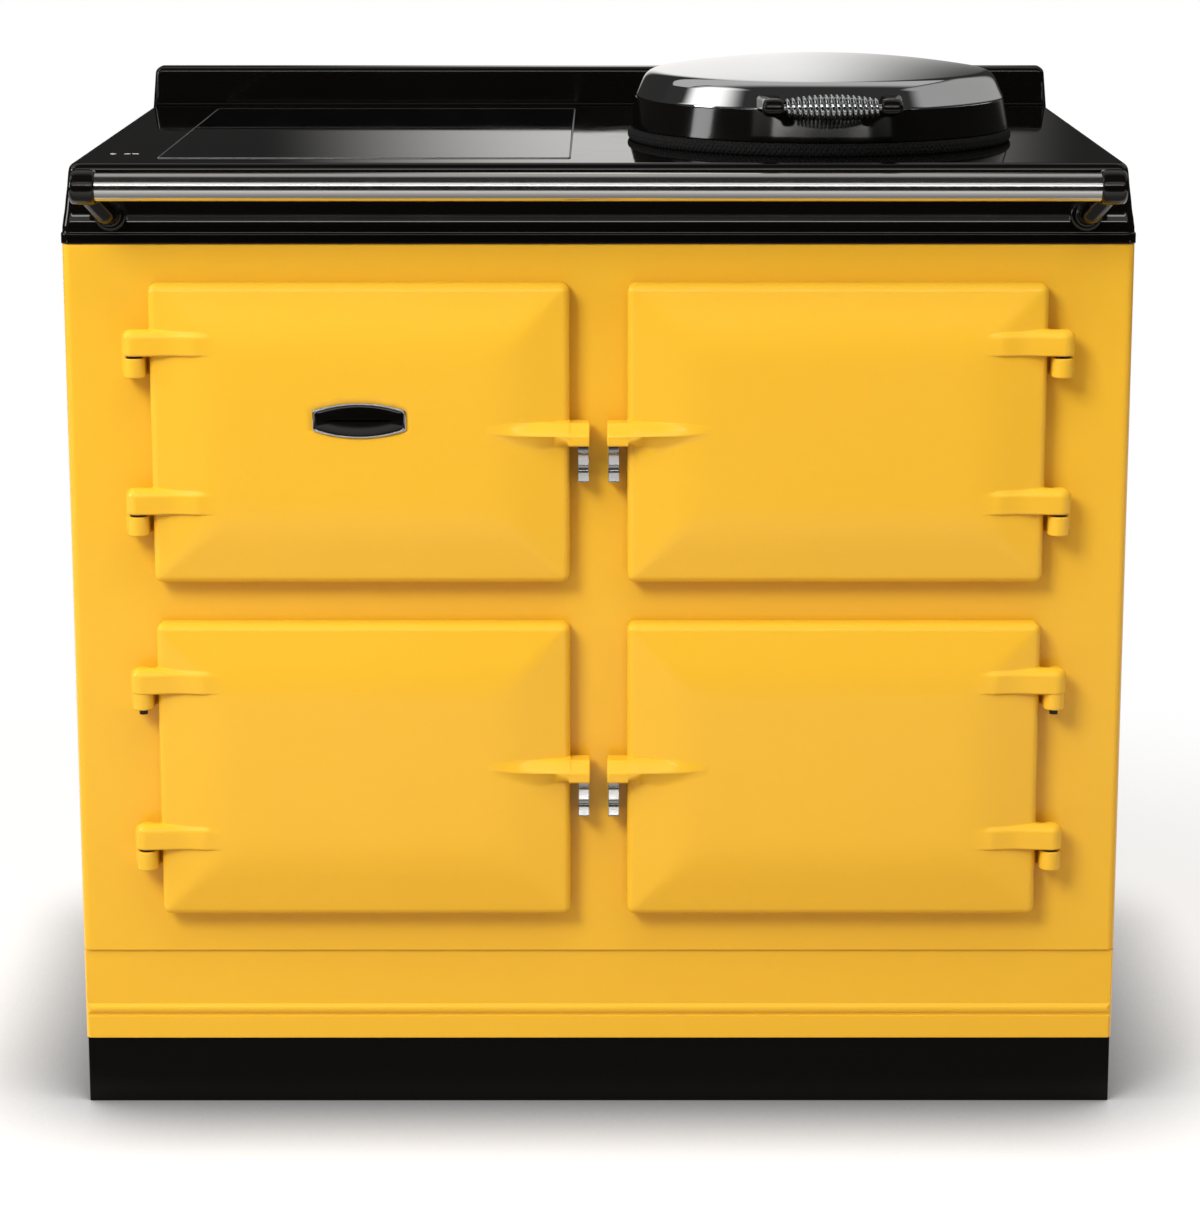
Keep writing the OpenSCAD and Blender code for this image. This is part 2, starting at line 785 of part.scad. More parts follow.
// Ovens ----------------------------------------------------------------------------------------

module oven(s, z, h) {
    x0 = door_x + mouth_margin_x;
    z0 = z + mouth_margin_z;
    z1 = z + h - mouth_margin_z;
    y1 = inner_y + oven_d;
    color("#2E3034") mirror([s, 0, 0]) {
        difference() {
            union() {
                block(x0 - oven_t, x0 + mouth_w + oven_t, inner_y, y1, z0 - oven_t, z1 + oven_t);
                block(x0 - oven_flange, x0 + mouth_w + oven_flange, inner_y, inner_y + oven_t,
                      z0 - oven_flange, z1 + oven_flange);
            }
            block(x0, x0 + mouth_w, inner_y - 1, y1 - oven_t, z0, z1);
        }
        for (x = [x0, x0 + mouth_w - ledge_w])
            block(x, x + ledge_w, inner_y + 20, y1 - oven_t, z0 + shelf_rise - ledge_t, z0 + shelf_rise);
    }
}

module upper_right_oven() { oven(0, upper_z, upper_door_h); }
module lower_right_oven() { oven(0, lower_z, lower_door_h); }
module lower_left_oven() { oven(1, lower_z, lower_door_h); }

module shelf(s, z) {
    x0 = door_x + mouth_margin_x + 2;
    x1 = x0 + mouth_w - 4;
    y0 = inner_y + 24;
    y1 = inner_y + oven_d - oven_t - 12;
    r = shelf_bar_d / 2;
    bar_z = z + mouth_margin_z + shelf_rise + r;
    count = floor((x1 - x0 - shelf_bar_d) / shelf_pitch);
    mirror([s, 0, 0]) {
        for (x = [x0 + r, x1 - r]) rod_y(x, y0, y1, bar_z, r);
        for (y = [y0 + r, y1 - r]) rod_x(x0 + r, x1 - r, y, bar_z, shelf_end_d / 2);
        for (i = [1 : count])
            rod_y(x0 + r + i * (x1 - x0 - shelf_bar_d) / (count + 1), y0 + r, y1 - r, bar_z, shelf_wire_d / 2);
    }
}

module oven_shelves() {
    color(CHROME) {
        shelf(0, upper_z);
        shelf(0, lower_z);
        shelf(1, lower_z);
    }
}

// A loop of tube under an oven's roof, from the back wall and round again
module oven_element(s, z, h) {
    x = door_x + door_w / 2;
    z1 = z + h - mouth_margin_z - element_drop;
    y1 = inner_y + oven_d - oven_t;
    y0 = y1 - oven_d * 0.6;
    bend = mouth_w * 0.28;
    mirror([s, 0, 0]) {
        for (dx = [-bend, bend]) rod_y(x + dx, y0, y1, z1, element_d / 2);
        translate([x, y0, z1]) rotate([0, 0, 180]) rotate_extrude(angle = 180) translate([bend, 0])
            circle(element_d / 2);
    }
}

module heating_elements() {
    color("#5A4A40") {
        oven_element(0, upper_z, upper_door_h);
        oven_element(0, lower_z, lower_door_h);
        oven_element(1, lower_z, lower_door_h);
        ring(30, plate_r - 20, ring_z, ring_z + ring_t);
    }
}

module core_insulation() {
    x0 = door_x + mouth_margin_x - oven_t;
    x1 = x0 + mouth_w + 2 * oven_t;
    flange = oven_flange - oven_t;
    color(WOOL) difference() {
        block(-inner_w + 20, inner_w - 20, inner_y, back_y - sheet_t - 40, plinth_h + sheet_t, top_z - 10);
        both_sides() for (d = [[lower_z, lower_door_h], [upper_z, upper_door_h]]) {
            z0 = d[0] + mouth_margin_z - oven_t;
            z1 = d[0] + d[1] - mouth_margin_z + oven_t;
            block(x0, x1, inner_y - 1, inner_y + oven_d, z0, z1);
            block(x0 - flange, x1 + flange, inner_y - 1, inner_y + oven_t, z0 - flange, z1 + flange);
        }
    }
}

// Controls -------------------------------------------------------------------------------------

module control_box() {
    x0 = door_x + mouth_margin_x;
    z0 = upper_z + mouth_margin_z;
    z1 = upper_z + upper_door_h - mouth_margin_z;
    y1 = inner_y + control_d;
    color(STEEL) mirror([1, 0, 0]) difference() {
        union() {
            block(x0 - oven_t, x0 + mouth_w + oven_t, inner_y, y1, z0 - oven_t, z1 + oven_t);
            block(x0 - oven_flange, x0 + mouth_w + oven_flange, inner_y, inner_y + oven_t,
                  z0 - oven_flange, z1 + oven_flange);
        }
        block(x0, x0 + mouth_w, inner_y - 1, y1 - oven_t, z0, z1);
    }
}

module control_fascia() {
    x0 = door_x + mouth_margin_x;
    z0 = upper_z + mouth_margin_z;
    z1 = upper_z + upper_door_h - mouth_margin_z;
    color("#26282B") difference() {
        mirror([1, 0, 0]) block(x0, x0 + mouth_w, fascia_y, fascia_y + fascia_t, z0, z1);
        for (x = knob_xs) {
            rod_y(x, fascia_y - 1, fascia_y + fascia_t + 1, knob_z, spindle_d / 2 + fascia_clear);
            rod_y(x, fascia_y - 1, fascia_y + fascia_t + 1, knob_z + lamp_rise, lamp_d / 2);
        }
    }
}

module control_switches() {
    y0 = fascia_y - knob_gap - spindle_in;
    y1 = fascia_y + fascia_t;
    color("#D9D4C4") for (x = knob_xs) {
        rod_y(x, y0, y1 + 1, knob_z, spindle_d / 2);
        block(x - switch_w / 2, x + switch_w / 2, y1, y1 + switch_w, knob_z - switch_w / 2, knob_z + switch_w / 2);
    }
}

module knob(x) {
    y1 = fascia_y - knob_gap;
    y0 = y1 - knob_l;
    bar_l = knob_l * 0.55;
    color("#1C1C1E") difference() {
        union() {
            rod_y(x, y1 - knob_l + bar_l, y1, knob_z, knob_d / 2);
            intersection() {
                rod_y(x, y0, y1, knob_z, knob_d / 2 - 1);
                block(x - knob_bar / 2, x + knob_bar / 2, y0, y1, knob_z - knob_d, knob_z + knob_d);
            }
        }
        rod_y(x, y1 - spindle_in - 1, y1 + 1, knob_z, spindle_d / 2 + spindle_clear);
    }
}

module indicator_lamps() {
    color("#E8672C") for (x = knob_xs) {
        rod_y(x, fascia_y - 2, fascia_y, knob_z + lamp_rise, lamp_d / 2 + 1);
        rod_y(x, fascia_y, fascia_y + fascia_t + 8, knob_z + lamp_rise, lamp_d / 2);
    }
    color("#F2F2EE") touch_marks(deck_z, hob_z + 0.4, 0.1);
}

// Doors: drawn for the right hand side, from the latch edge, with the front plate at y = 0 ------

door_back = -door_gap;
door_edge_y = door_back - door_edge_t;
door_face_y = door_edge_y - door_crown;
hollow_y = door_edge_y + door_skin;
badge_y = door_edge_y - door_crown + crown_ease + badge_seat;

// Points along a crowned line over a span: a shallow arc in from each end, level between them.
// Each point is [place along the span, height].
crown_run = min(lower_door_h, upper_door_h) * 0.48;
function crown_arc(span, rise) =
    let (run = crown_run, ball = (run * run + rise * rise) / (2 * rise), n = 10,
         half = [for (i = [0 : n]) let (u = run * i / n)
             [u, rise - ball + sqrt(ball * ball - pow(run - u, 2))]])
    concat(half, [for (i = [n : -1 : 0]) [span - half[i][0], half[i][1]]]);

// Plan of the crowned face, standing on the door's back
module crowned_across() {
    polygon(concat([[door_w, door_back], [0, door_back]],
                   [for (q = crown_arc(door_w, door_crown)) [q[0], door_edge_y - q[1]]]));
}

// Upright section of the crowned face, drawn in Y and Z
module crowned_upright(h) {
    polygon(concat([[door_back, h], [door_back, 0]],
                   [for (q = crown_arc(h, door_crown - crown_ease)) [door_edge_y - q[1], q[0]]]));
}

module door_form(h) {
    intersection() {
        linear_extrude(h) crowned_across();
        lay_along(0, door_w) crowned_upright(h);
        stand_up(door_face_y, door_back) round_rect(door_w, h, door_corner_r);
    }
}

// Hinge arm in plan: an eye round the pin and a strap that fades into the face
module arm_plan() {
    x = door_w + pin_offset;
    translate([x, -pin_out]) circle(arm_r);
    polygon([[x, -pin_out - arm_r], [x, -pin_out + arm_r * 0.5], [door_w - 4, door_back - 4],
             [door_w - arm_reach, door_back - 4], [door_w - arm_reach, door_edge_y - 4]]);
}

// Latch lug: its plan, and its outline seen from the front
module lug_plan() {
    x0 = lug_end - door_x;
    r = 5;
    translate([x0, -lug_out + r]) square([-x0 + 8, lug_out - r - 6]);
    translate([x0 + r, -lug_out]) square([-x0 + 12 - r, lug_out - 6]);
    translate([x0 + r, -lug_out + r]) circle(r, $fn = 32);
    polygon([[8, -lug_out], [20, -lug_out - 0.5], [lug_reach, door_face_y + 4], [lug_reach, door_back - 8],
             [8, door_back - 8]]);
}

module lug_outline(z) {
    x0 = lug_end - door_x;
    polygon([[x0, z - lug_h / 2], [14, z - lug_h / 2], [lug_reach - 4, z - 3],
             [lug_reach, z], [lug_reach - 4, z + 3], [14, z + lug_h / 2], [x0, z + lug_h / 2]]);
}

module door_casting(h, badge) {
    lug_z = h / 2 + lug_rise;
    difference() {
        union() {
            door_form(h);
            for (z = arm_feet(0, h)) translate([0, 0, z]) linear_extrude(arm_h) arm_plan();
            intersection() {
                linear_extrude(h) lug_plan();
                stand_up(-lug_out - 4, 0) lug_outline(lug_z);
            }
        }
        block(door_wall, door_w - door_wall, hollow_y,
              door_back + 1, door_wall, h - door_wall);
        for (z = arm_feet(0, h)) translate([door_w + pin_offset, -pin_out, z - 1])
            cylinder(h = arm_h + 2, r = pin_d / 2 + pin_clear);
        if (badge) stand_up(door_face_y - 1, badge_y) badge_outline(h, 0.2);
    }
}

// Barrel shaped outline, with bowed long sides and straight ends
module badge_outline(h, grow) {
    half = badge_w / 2 + grow;
    bow = (badge_h - badge_end_h) / 2;
    ball = (half * half + bow * bow) / (2 * bow);
    n = 12;
    long_side = [for (i = [0 : n]) let (u = -half + 2 * half * i / n)
        [u, badge_h / 2 + grow - ball + sqrt(ball * ball - u * u)]];
    translate([door_w / 2, h / 2 + 15])
        polygon(concat(long_side, [for (i = [n : -1 : 0]) [long_side[i][0], -long_side[i][1]]]));
}

module door_at(s, z) {
    mirror([s, 0, 0]) translate([door_x, front_y, z]) children();
}

// Pan that closes the back of a door and reaches into the mouth
module door_liner(h) {
    a = door_wall;
    px = mouth_margin_x + plug_gap;
    pz = mouth_margin_z + plug_gap;
    back = door_back - liner_t;
    difference() {
        union() {
            block(a, door_w - a, back, door_back, a, h - a);
            block(px, door_w - px, door_back, plug_depth, pz, h - pz);
        }
        block(px + liner_t, door_w - px - liner_t, back - 1, plug_depth - liner_t, pz + liner_t, h - pz - liner_t);
    }
}

module door_insulation(h) {
    a = door_wall;
    px = mouth_margin_x + plug_gap + liner_t;
    pz = mouth_margin_z + plug_gap + liner_t;
    block(a, door_w - a, hollow_y, door_back - liner_t, a, h - a);
    block(px, door_w - px, door_back - liner_t, plug_depth - liner_t, pz, h - pz);
}

module door_seal(h) {
    a = mouth_margin_x - seal_w + 4;
    b = mouth_margin_z - seal_w + 4;
    stand_up(door_back, -shut_gap) difference() {
        translate([a, b]) round_rect(door_w - 2 * a, h - 2 * b, 10);
        translate([a + seal_w, b + seal_w]) square([door_w - 2 * a - 2 * seal_w, h - 2 * b - 2 * seal_w]);
    }
}

module upper_left_door() { color(YELLOW) door_at(1, upper_z) door_casting(upper_door_h, true); }
module upper_right_door() { color(YELLOW) door_at(0, upper_z) door_casting(upper_door_h, false); }
module lower_left_door() { color(YELLOW) door_at(1, lower_z) door_casting(lower_door_h, false); }
module lower_right_door() { color(YELLOW) door_at(0, lower_z) door_casting(lower_door_h, false); }

module upper_left_door_liner() { color(STEEL) door_at(1, upper_z) door_liner(upper_door_h); }
module upper_right_door_liner() { color(STEEL) door_at(0, upper_z) door_liner(upper_door_h); }
module lower_left_door_liner() { color(STEEL) door_at(1, lower_z) door_liner(lower_door_h); }
module lower_right_door_liner() { color(STEEL) door_at(0, lower_z) door_liner(lower_door_h); }

module upper_right_door_insulation() { color(WOOL) door_at(0, upper_z) door_insulation(upper_door_h); }
module lower_left_door_insulation() { color(WOOL) door_at(1, lower_z) door_insulation(lower_door_h); }
module lower_right_door_insulation() { color(WOOL) door_at(0, lower_z) door_insulation(lower_door_h); }

module upper_right_door_seal() { color(ROPE) door_at(0, upper_z) door_seal(upper_door_h); }
module lower_left_door_seal() { color(ROPE) door_at(1, lower_z) door_seal(lower_door_h); }
module lower_right_door_seal() { color(ROPE) door_at(0, lower_z) door_seal(lower_door_h); }

module badge_plate() {
    color(BLACK) door_at(1, upper_z)
        stand_up(badge_y - badge_t, badge_y) badge_outline(upper_door_h, 0);
}

// A chromed catch under each lug: two round noses with a groove between them, and a plain head
module door_catch(z1) {
    nose_r = catch_h * 0.145;
    z0 = z1 - catch_h;
    lay_along(lug_end + 1, lug_end + 1 + catch_w) {
        translate([front_y - catch_out + nose_r, z0]) square([catch_out - nose_r, catch_h]);
        for (z = [z0 + nose_r, z0 + nose_r + catch_h * 0.42])
            translate([front_y - catch_out + nose_r, z]) circle(nose_r, $fn = 48);
    }
}

module door_catches() {
    color(CHROME) both_sides() for (d = [[lower_z, lower_door_h], [upper_z, upper_door_h]])
        door_catch(d[0] + d[1] / 2 + lug_rise - lug_h / 2 - catch_gap);
}

module hinge_pins() {
    color(STEEL) {
        both_sides() for (d = [[lower_z, lower_door_h], [upper_z, upper_door_h]])
            for (foot = arm_feet(d[0], d[1]))
                translate([pin_x, front_y - pin_out, foot - arm_play - washer_t]) {
                    translate([0, 0, -boss_h]) cylinder(h = boss_h + washer_t + arm_play + arm_h - 3, r = pin_d / 2);
                    cylinder(h = washer_t, r = washer_d / 2);
                }
        rod_x(plate_x - hinge_w / 2 - ear_play - ear_t, plate_x + hinge_w / 2 + ear_play + ear_t,
              lid_pin_y, pin_mid_z, lid_pin_d / 2);
    }
}

// Lid ------------------------------------------------------------------------------------------

// Outer form of the closed lid, for seating the pieces that are fixed to its side
module lid_side() {
    translate([plate_x, plate_y, 0]) rotate_extrude($fn = FINE)
        polygon([[0, lid_z], [band_r, lid_z], [band_top_r, bevel_z], [dome_r, dome_z], [0, dome_z]]);
}

module lid_band() {
    color(BLACK) translate([plate_x, plate_y, 0]) rotate_extrude($fn = FINE)
        polygon([[band_r - band_w, lid_z], [band_r, lid_z], [band_top_r, bevel_z],
                 [band_top_r - band_w + band_lean, bevel_z]]);
}

// Half section of the dome, from its foot over the crease to the middle, pushed in by t
function dome_points(t) =
    let (ball = dome_ball - t, zc = dome_z + dome_rise - dome_ball, r = dome_r - t * 0.8, n = 16)
    [for (i = [0 : n]) let (x = r * (n - i) / n) [x, zc + sqrt(ball * ball - x * x)]];

module lid_dome() {
    inner_r = band_top_r - dome_t;
    color(CHROME) translate([plate_x, plate_y, 0]) rotate_extrude($fn = FINE)
        polygon(concat([[inner_r, bevel_z], [band_top_r, bevel_z]], dome_points(0),
                       [for (i = [16 : -1 : 0]) dome_points(dome_t)[i]]));
}

module lid_liner() {
    r = band_r - band_w;
    color(STEEL) translate([plate_x, plate_y, 0]) rotate_extrude($fn = FINE) {
        translate([0, lid_z + 2]) square([r, lid_liner_t]);
        translate([r - lid_liner_t, lid_z + 2]) square([lid_liner_t, band_h - 2]);
    }
}

module lid_insulation() {
    r = band_r - band_w - lid_liner_t;
    color(WOOL) translate([plate_x, plate_y, lid_z + 2 + lid_liner_t])
        cylinder(h = band_h + bevel_h - lid_liner_t - dome_t - 2, r = r - bevel_lean, $fn = FINE);
}

// A bracket from the lid's band out to a collar on the handle's rod
module handle_bracket() {
    x0 = handle_l / 2;
    mid = x0 + collar_l / 2;
    difference() {
        union() {
            rod_x(plate_x + x0, plate_x + x0 + collar_l, handle_y, handle_mid_z, collar_d / 2);
            translate([0, 0, handle_mid_z - bracket_h / 2]) linear_extrude(bracket_h)
                polygon([[plate_x + x0 + 3, handle_y + 2], [plate_x + x0 + collar_l - 3, handle_y + 2],
                         [plate_x + mid + bracket_root - 8, plate_y - band_r + 26],
                         [plate_x + mid - bracket_root / 2, plate_y - band_r + 26]]);
        }
        lid_side();
        rod_x(plate_x + x0 - 1, plate_x + x0 + collar_l - 4, handle_y, handle_mid_z, handle_rod_d / 2);
    }
}

module lid_handle_brackets() {
    color(BLACK) {
        handle_bracket();
        translate([plate_x, 0, 0]) mirror([1, 0, 0]) translate([-plate_x, 0, 0]) handle_bracket();
    }
}

module lid_handle_rod() {
    end = handle_l / 2 + collar_l - 4;
    color(STEEL) rod_x(plate_x - end, plate_x + end, handle_y, handle_mid_z, handle_rod_d / 2);
}

module lid_hinge_arm() {
    x0 = plate_x - hinge_w / 2;
    x1 = plate_x + hinge_w / 2;
    color(BLACK) difference() {
        union() {
            rod_x(x0, x1, lid_pin_y, pin_mid_z, eye_r);
            block(x0, x1, plate_y + band_r - 30, lid_pin_y, pin_mid_z - 4, pin_mid_z + eye_r);
        }
        lid_side();
        rod_x(x0 - 1, x1 + 1, lid_pin_y, pin_mid_z, lid_pin_d / 2 + pin_clear);
    }
}

module lid_hinge_bracket() {
    base_t = 5;
    ear_x = hinge_w / 2 + ear_play;
    color(BLACK) difference() {
        union() {
            block(plate_x - ear_x - ear_t, plate_x + ear_x + ear_t, lid_pin_y - 10, lid_pin_y + 34,
                  hob_z, hob_z + base_t);
            for (x = [plate_x - ear_x - ear_t, plate_x + ear_x]) {
                block(x, x + ear_t, lid_pin_y - eye_r, lid_pin_y + eye_r, hob_z, pin_mid_z);
                rod_x(x, x + ear_t, lid_pin_y, pin_mid_z, eye_r);
            }
        }
        rod_x(plate_x - ear_x - ear_t - 1, plate_x + ear_x + ear_t + 1, lid_pin_y, pin_mid_z, lid_pin_d / 2);
    }
}

// Coil handle: one unbroken wire wound round the rod --------------------------------------------

// Centre line of the wire, u from 0 to 1 along the winding
wire_r = wire_d / 2;
end_r = coil_end_d / 2 - wire_r;
mid_r = coil_mid_d / 2 - wire_r;
wound_l = handle_l - 4 * wire_d;
coil_steps = 8 * coil_turns;
function coil_radius(u) = end_r + (mid_r - end_r) * pow(sin(180 * u), 0.8);
function coil_point(u) =
    let (a = 360 * coil_turns * u, r = coil_radius(u))
    [-wound_l / 2 + wound_l * u, r * cos(a), r * sin(a)];
function wind_path() = concat(
    [[-handle_l / 2, end_r, 0], [-handle_l / 2 + wire_d, end_r, 0]],
    [for (i = [1 : coil_steps - 1]) coil_point(i / coil_steps)],
    [[handle_l / 2 - wire_d, end_r, 0], [handle_l / 2, end_r, 0]]);
function unit(v) = v / norm(v);
function heading(p, i) =
    i <= 1 || i >= len(p) - 2 ? [1, 0, 0] : unit(p[i + 1] - p[i - 1]);

// Rings of six points, each square to the wire, with one corner turned away from the rod
function wire_ring(p, i) =
    let (t = heading(p, i), out = unit([0, p[i][1], p[i][2]]),
         a = unit(out - t * (out * t)), b = cross(t, a))
    [for (k = [0 : 5]) p[i] + wire_r * (cos(60 * k) * a + sin(60 * k) * b)];

function sweep_faces(n) = concat(
    [for (k = [1 : 4]) [0, k + 1, k]],
    [for (k = [1 : 4]) [6 * n - 6, 6 * n - 6 + k, 6 * n - 5 + k]],
    [for (i = [0 : n - 2], k = [0 : 5]) [6 * i + k, 6 * i + (k + 1) % 6, 6 * i + 6 + k]],
    [for (i = [0 : n - 2], k = [0 : 5]) [6 * i + (k + 1) % 6, 6 * i + 6 + (k + 1) % 6, 6 * i + 6 + k]]);

coil_path = wind_path();
coil_gap = min([for (i = [0 : len(coil_path) - 8], j = [i + 6 : min(i + 12, len(coil_path) - 1)])
                norm(coil_path[i] - coil_path[j])]) - wire_d;
echo(coil_least_gap_mm = coil_gap);

module lid_handle_coil() {
    points = [for (i = [0 : len(coil_path) - 1], q = wire_ring(coil_path, i)) q];
    color(CHROME) translate([plate_x, handle_y, handle_mid_z])
        polyhedron(points, sweep_faces(len(coil_path)), convexity = 10);
}

// Drawing --------------------------------------------------------------------------------------

plinth();
levelling_feet();
base_plate();
base_moulding();
front_plate();
hinge_bosses();
side_panels();
back_panel();
top_plate();
rear_upstand();
towel_rail();
rail_brackets();
hob_glass();
induction_tray();
induction_coils();
hotplate();
hotplate_rim();
hotplate_seal();
hotplate_cup();
lid_hinge_bracket();
hinge_pins();
upper_right_oven();
lower_right_oven();
lower_left_oven();
heating_elements();
oven_shelves();
control_box();
control_fascia();
control_switches();
indicator_lamps();
core_insulation();
door_catches();
casing_screws();
terminal_box();
upper_left_door();
upper_left_door_liner();
badge_plate();
upper_right_door();
upper_right_door_liner();
upper_right_door_insulation();
upper_right_door_seal();
lower_left_door();
lower_left_door_liner();
lower_left_door_insulation();
lower_left_door_seal();
lower_right_door();
lower_right_door_liner();
lower_right_door_insulation();
lower_right_door_seal();
knob(knob_xs[0]);  // knob_1
knob(knob_xs[1]);  // knob_2
knob(knob_xs[2]);  // knob_3
knob(knob_xs[3]);  // knob_4
lid_band();
lid_dome();
lid_liner();
lid_insulation();
lid_handle_brackets();
lid_handle_rod();
lid_handle_coil();
lid_hinge_arm();
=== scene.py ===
import math

import bmesh
import bpy
import numpy as np
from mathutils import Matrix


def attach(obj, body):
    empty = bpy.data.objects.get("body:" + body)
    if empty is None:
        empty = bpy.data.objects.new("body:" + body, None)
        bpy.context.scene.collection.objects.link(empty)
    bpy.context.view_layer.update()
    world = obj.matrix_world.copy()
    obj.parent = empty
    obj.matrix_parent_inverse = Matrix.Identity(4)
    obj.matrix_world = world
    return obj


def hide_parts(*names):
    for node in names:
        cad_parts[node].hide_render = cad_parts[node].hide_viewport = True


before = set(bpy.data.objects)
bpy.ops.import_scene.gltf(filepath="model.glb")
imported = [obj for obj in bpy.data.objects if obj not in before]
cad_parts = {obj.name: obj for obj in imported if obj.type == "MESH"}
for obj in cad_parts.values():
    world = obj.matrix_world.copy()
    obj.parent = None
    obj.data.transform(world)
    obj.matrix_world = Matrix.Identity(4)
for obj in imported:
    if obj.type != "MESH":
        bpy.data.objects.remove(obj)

scene = bpy.context.scene
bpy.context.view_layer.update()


# Camera ---------------------------------------------------------------------------------------
# A long lens about three metres in front of the cooker and a little above its hob, tipped down,
# with a slight vertical shift so that the upright edges stay nearly parallel.
camera = bpy.data.objects.new("camera", bpy.data.cameras.new("camera"))
scene.collection.objects.link(camera)
scene.camera = camera
camera.location = (0.00822, -3.4857, 1.23335)
camera.rotation_euler = (math.radians(90 - 11.602), 0, math.radians(-0.034))
camera.data.sensor_width = 36
camera.data.lens = 102.71
camera.data.shift_x = -0.0077
camera.data.shift_y = -0.08


# Studio ---------------------------------------------------------------------------------------
# White floor and white surroundings, a tall softbox on the left and a broad lamp overhead.
# Cards that only reflections see give chrome and black enamel their dark and light bands.
def srgb(code):
    """Linear colour of a #RRGGBB code."""
    parts = [int(code[i:i + 2], 16) / 255 for i in (1, 3, 5)]
    return [c / 12.92 if c <= 0.04045 else ((c + 0.055) / 1.055) ** 2.4 for c in parts] + [1.0]


def add(tree, kind, inputs=None, **settings):
    """Adds a node with its settings; inputs are values or links, by socket name or number."""
    made = tree.nodes.new(kind)
    for key, value in settings.items():
        setattr(made, key, value)
    for key, value in (inputs or {}).items():
        if isinstance(value, bpy.types.NodeSocket):
            tree.links.new(value, made.inputs[key])
        else:
            made.inputs[key].default_value = value
    return made


def calc(tree, kind, a, b=0.0, c=0.0):
    """The result of a Math node on numbers or links."""
    return add(tree, "ShaderNodeMath", {0: a, 1: b, 2: c}, operation=kind).outputs[0]


def vector(tree, kind, a, b=(0, 0, 0)):
    """A Vector Math node on vectors or links."""
    return add(tree, "ShaderNodeVectorMath", {0: a, 1: b}, operation=kind).outputs


def between(tree, value, low, high, start, end):
    """A value that eases from start to end while its input goes from low to high."""
    return add(tree, "ShaderNodeMapRange", {"Value": value, "From Min": low, "From Max": high, "To Min": start,
                                            "To Max": end}, interpolation_type="SMOOTHSTEP").outputs["Result"]


def place_on(tree, output="Object"):
    """Where a point lies on its piece, in metres, or else its UV."""
    return add(tree, "ShaderNodeTexCoord").outputs[output]


def axes(tree, output="Object"):
    """The same as three numbers, by axis."""
    return add(tree, "ShaderNodeSeparateXYZ", {0: place_on(tree, output)}).outputs


def emptied(owner):
    """The node tree of a material or a world, with nothing in it."""
    owner.use_nodes = True
    owner.node_tree.nodes.clear()
    return owner.node_tree


def mixed(tree, factor, first, second):
    return add(tree, "ShaderNodeMixShader", {0: factor, 1: first.outputs[0], 2: second.outputs[0]})


def seen_directly(tree):
    """1 for camera, glossy and transmission rays, and 0 for the rays that carry diffuse light."""
    rays = add(tree, "ShaderNodeLightPath").outputs
    mirror = calc(tree, "MAXIMUM", rays["Is Camera Ray"], rays["Is Glossy Ray"])
    return calc(tree, "MAXIMUM", mirror, rays["Is Transmission Ray"])


scene.view_settings.view_transform = "Standard"
scene.world = bpy.data.worlds.new("studio")
sky = emptied(scene.world)
fill_light = add(sky, "ShaderNodeBackground", {"Color": srgb("#FFE9D2"), "Strength": 0.36})
backdrop = add(sky, "ShaderNodeBackground", {"Color": srgb("#FFFFFF"), "Strength": 1.0})
surround = mixed(sky, seen_directly(sky), fill_light, backdrop)
add(sky, "ShaderNodeOutputWorld", {"Surface": surround.outputs[0]})


def flat_sheet(name, corners, paint_name):
    """A four-cornered sheet for the stage, corners in metres, and its new material's nodes."""
    mesh = bpy.data.meshes.new(name)
    mesh.from_pydata(corners, [], [(0, 1, 2, 3)])
    mesh.uv_layers.new(name="across")
    for loop, corner in zip(mesh.uv_layers[0].data, ((0, 0), (1, 0), (1, 1), (0, 1))):
        loop.uv = corner
    sheet = bpy.data.objects.new(name, mesh)
    scene.collection.objects.link(sheet)
    paint = bpy.data.materials.new(paint_name)
    mesh.materials.append(paint)
    return sheet, emptied(paint)


# The floor shows white with a soft contact shade round the plinth; it throws back less light than
# it shows, so that the lower slopes of the doors stay darker than the upper ones.
tree = flat_sheet("floor", [(-14, -14, 0), (14, -14, 0), (14, 14, 0), (-14, 14, 0)], "matt_white_floor")[1]
contact = add(tree, "ShaderNodeAmbientOcclusion", {"Distance": 0.17}, samples=16)
shade = calc(tree, "POWER", contact.outputs["AO"], 2.1)
fade = between(tree, vector(tree, "LENGTH", place_on(tree))["Value"], 0.75, 1.5, 0, 1)
matt = add(tree, "ShaderNodeBsdfDiffuse", {"Color": shade})
lift = add(tree, "ShaderNodeEmission", {"Color": shade, "Strength": 1.08})
glow = add(tree, "ShaderNodeEmission", {"Color": srgb("#FFFFFF"), "Strength": 1.0})
shown = mixed(tree, fade, mixed(tree, 0.7, matt, lift), glow)
bounce = add(tree, "ShaderNodeBsdfDiffuse", {"Color": srgb("#C8BEB2")})
add(tree, "ShaderNodeOutputMaterial", {"Surface": mixed(tree, seen_directly(tree), bounce, shown).outputs[0]})


def card(name, corners, tone):
    """A sheet that only reflections see; its brightness is a number or tone(tree)."""
    sheet, tree = flat_sheet(name, corners, name)
    for ray in ("camera", "diffuse", "transmission", "volume_scatter", "shadow"):
        setattr(sheet, "visible_" + ray, False)
    strength = tone(tree) if callable(tone) else tone
    light = add(tree, "ShaderNodeEmission", {"Color": srgb("#FFFDFA"), "Strength": strength})
    add(tree, "ShaderNodeOutputMaterial", {"Surface": light.outputs[0]})


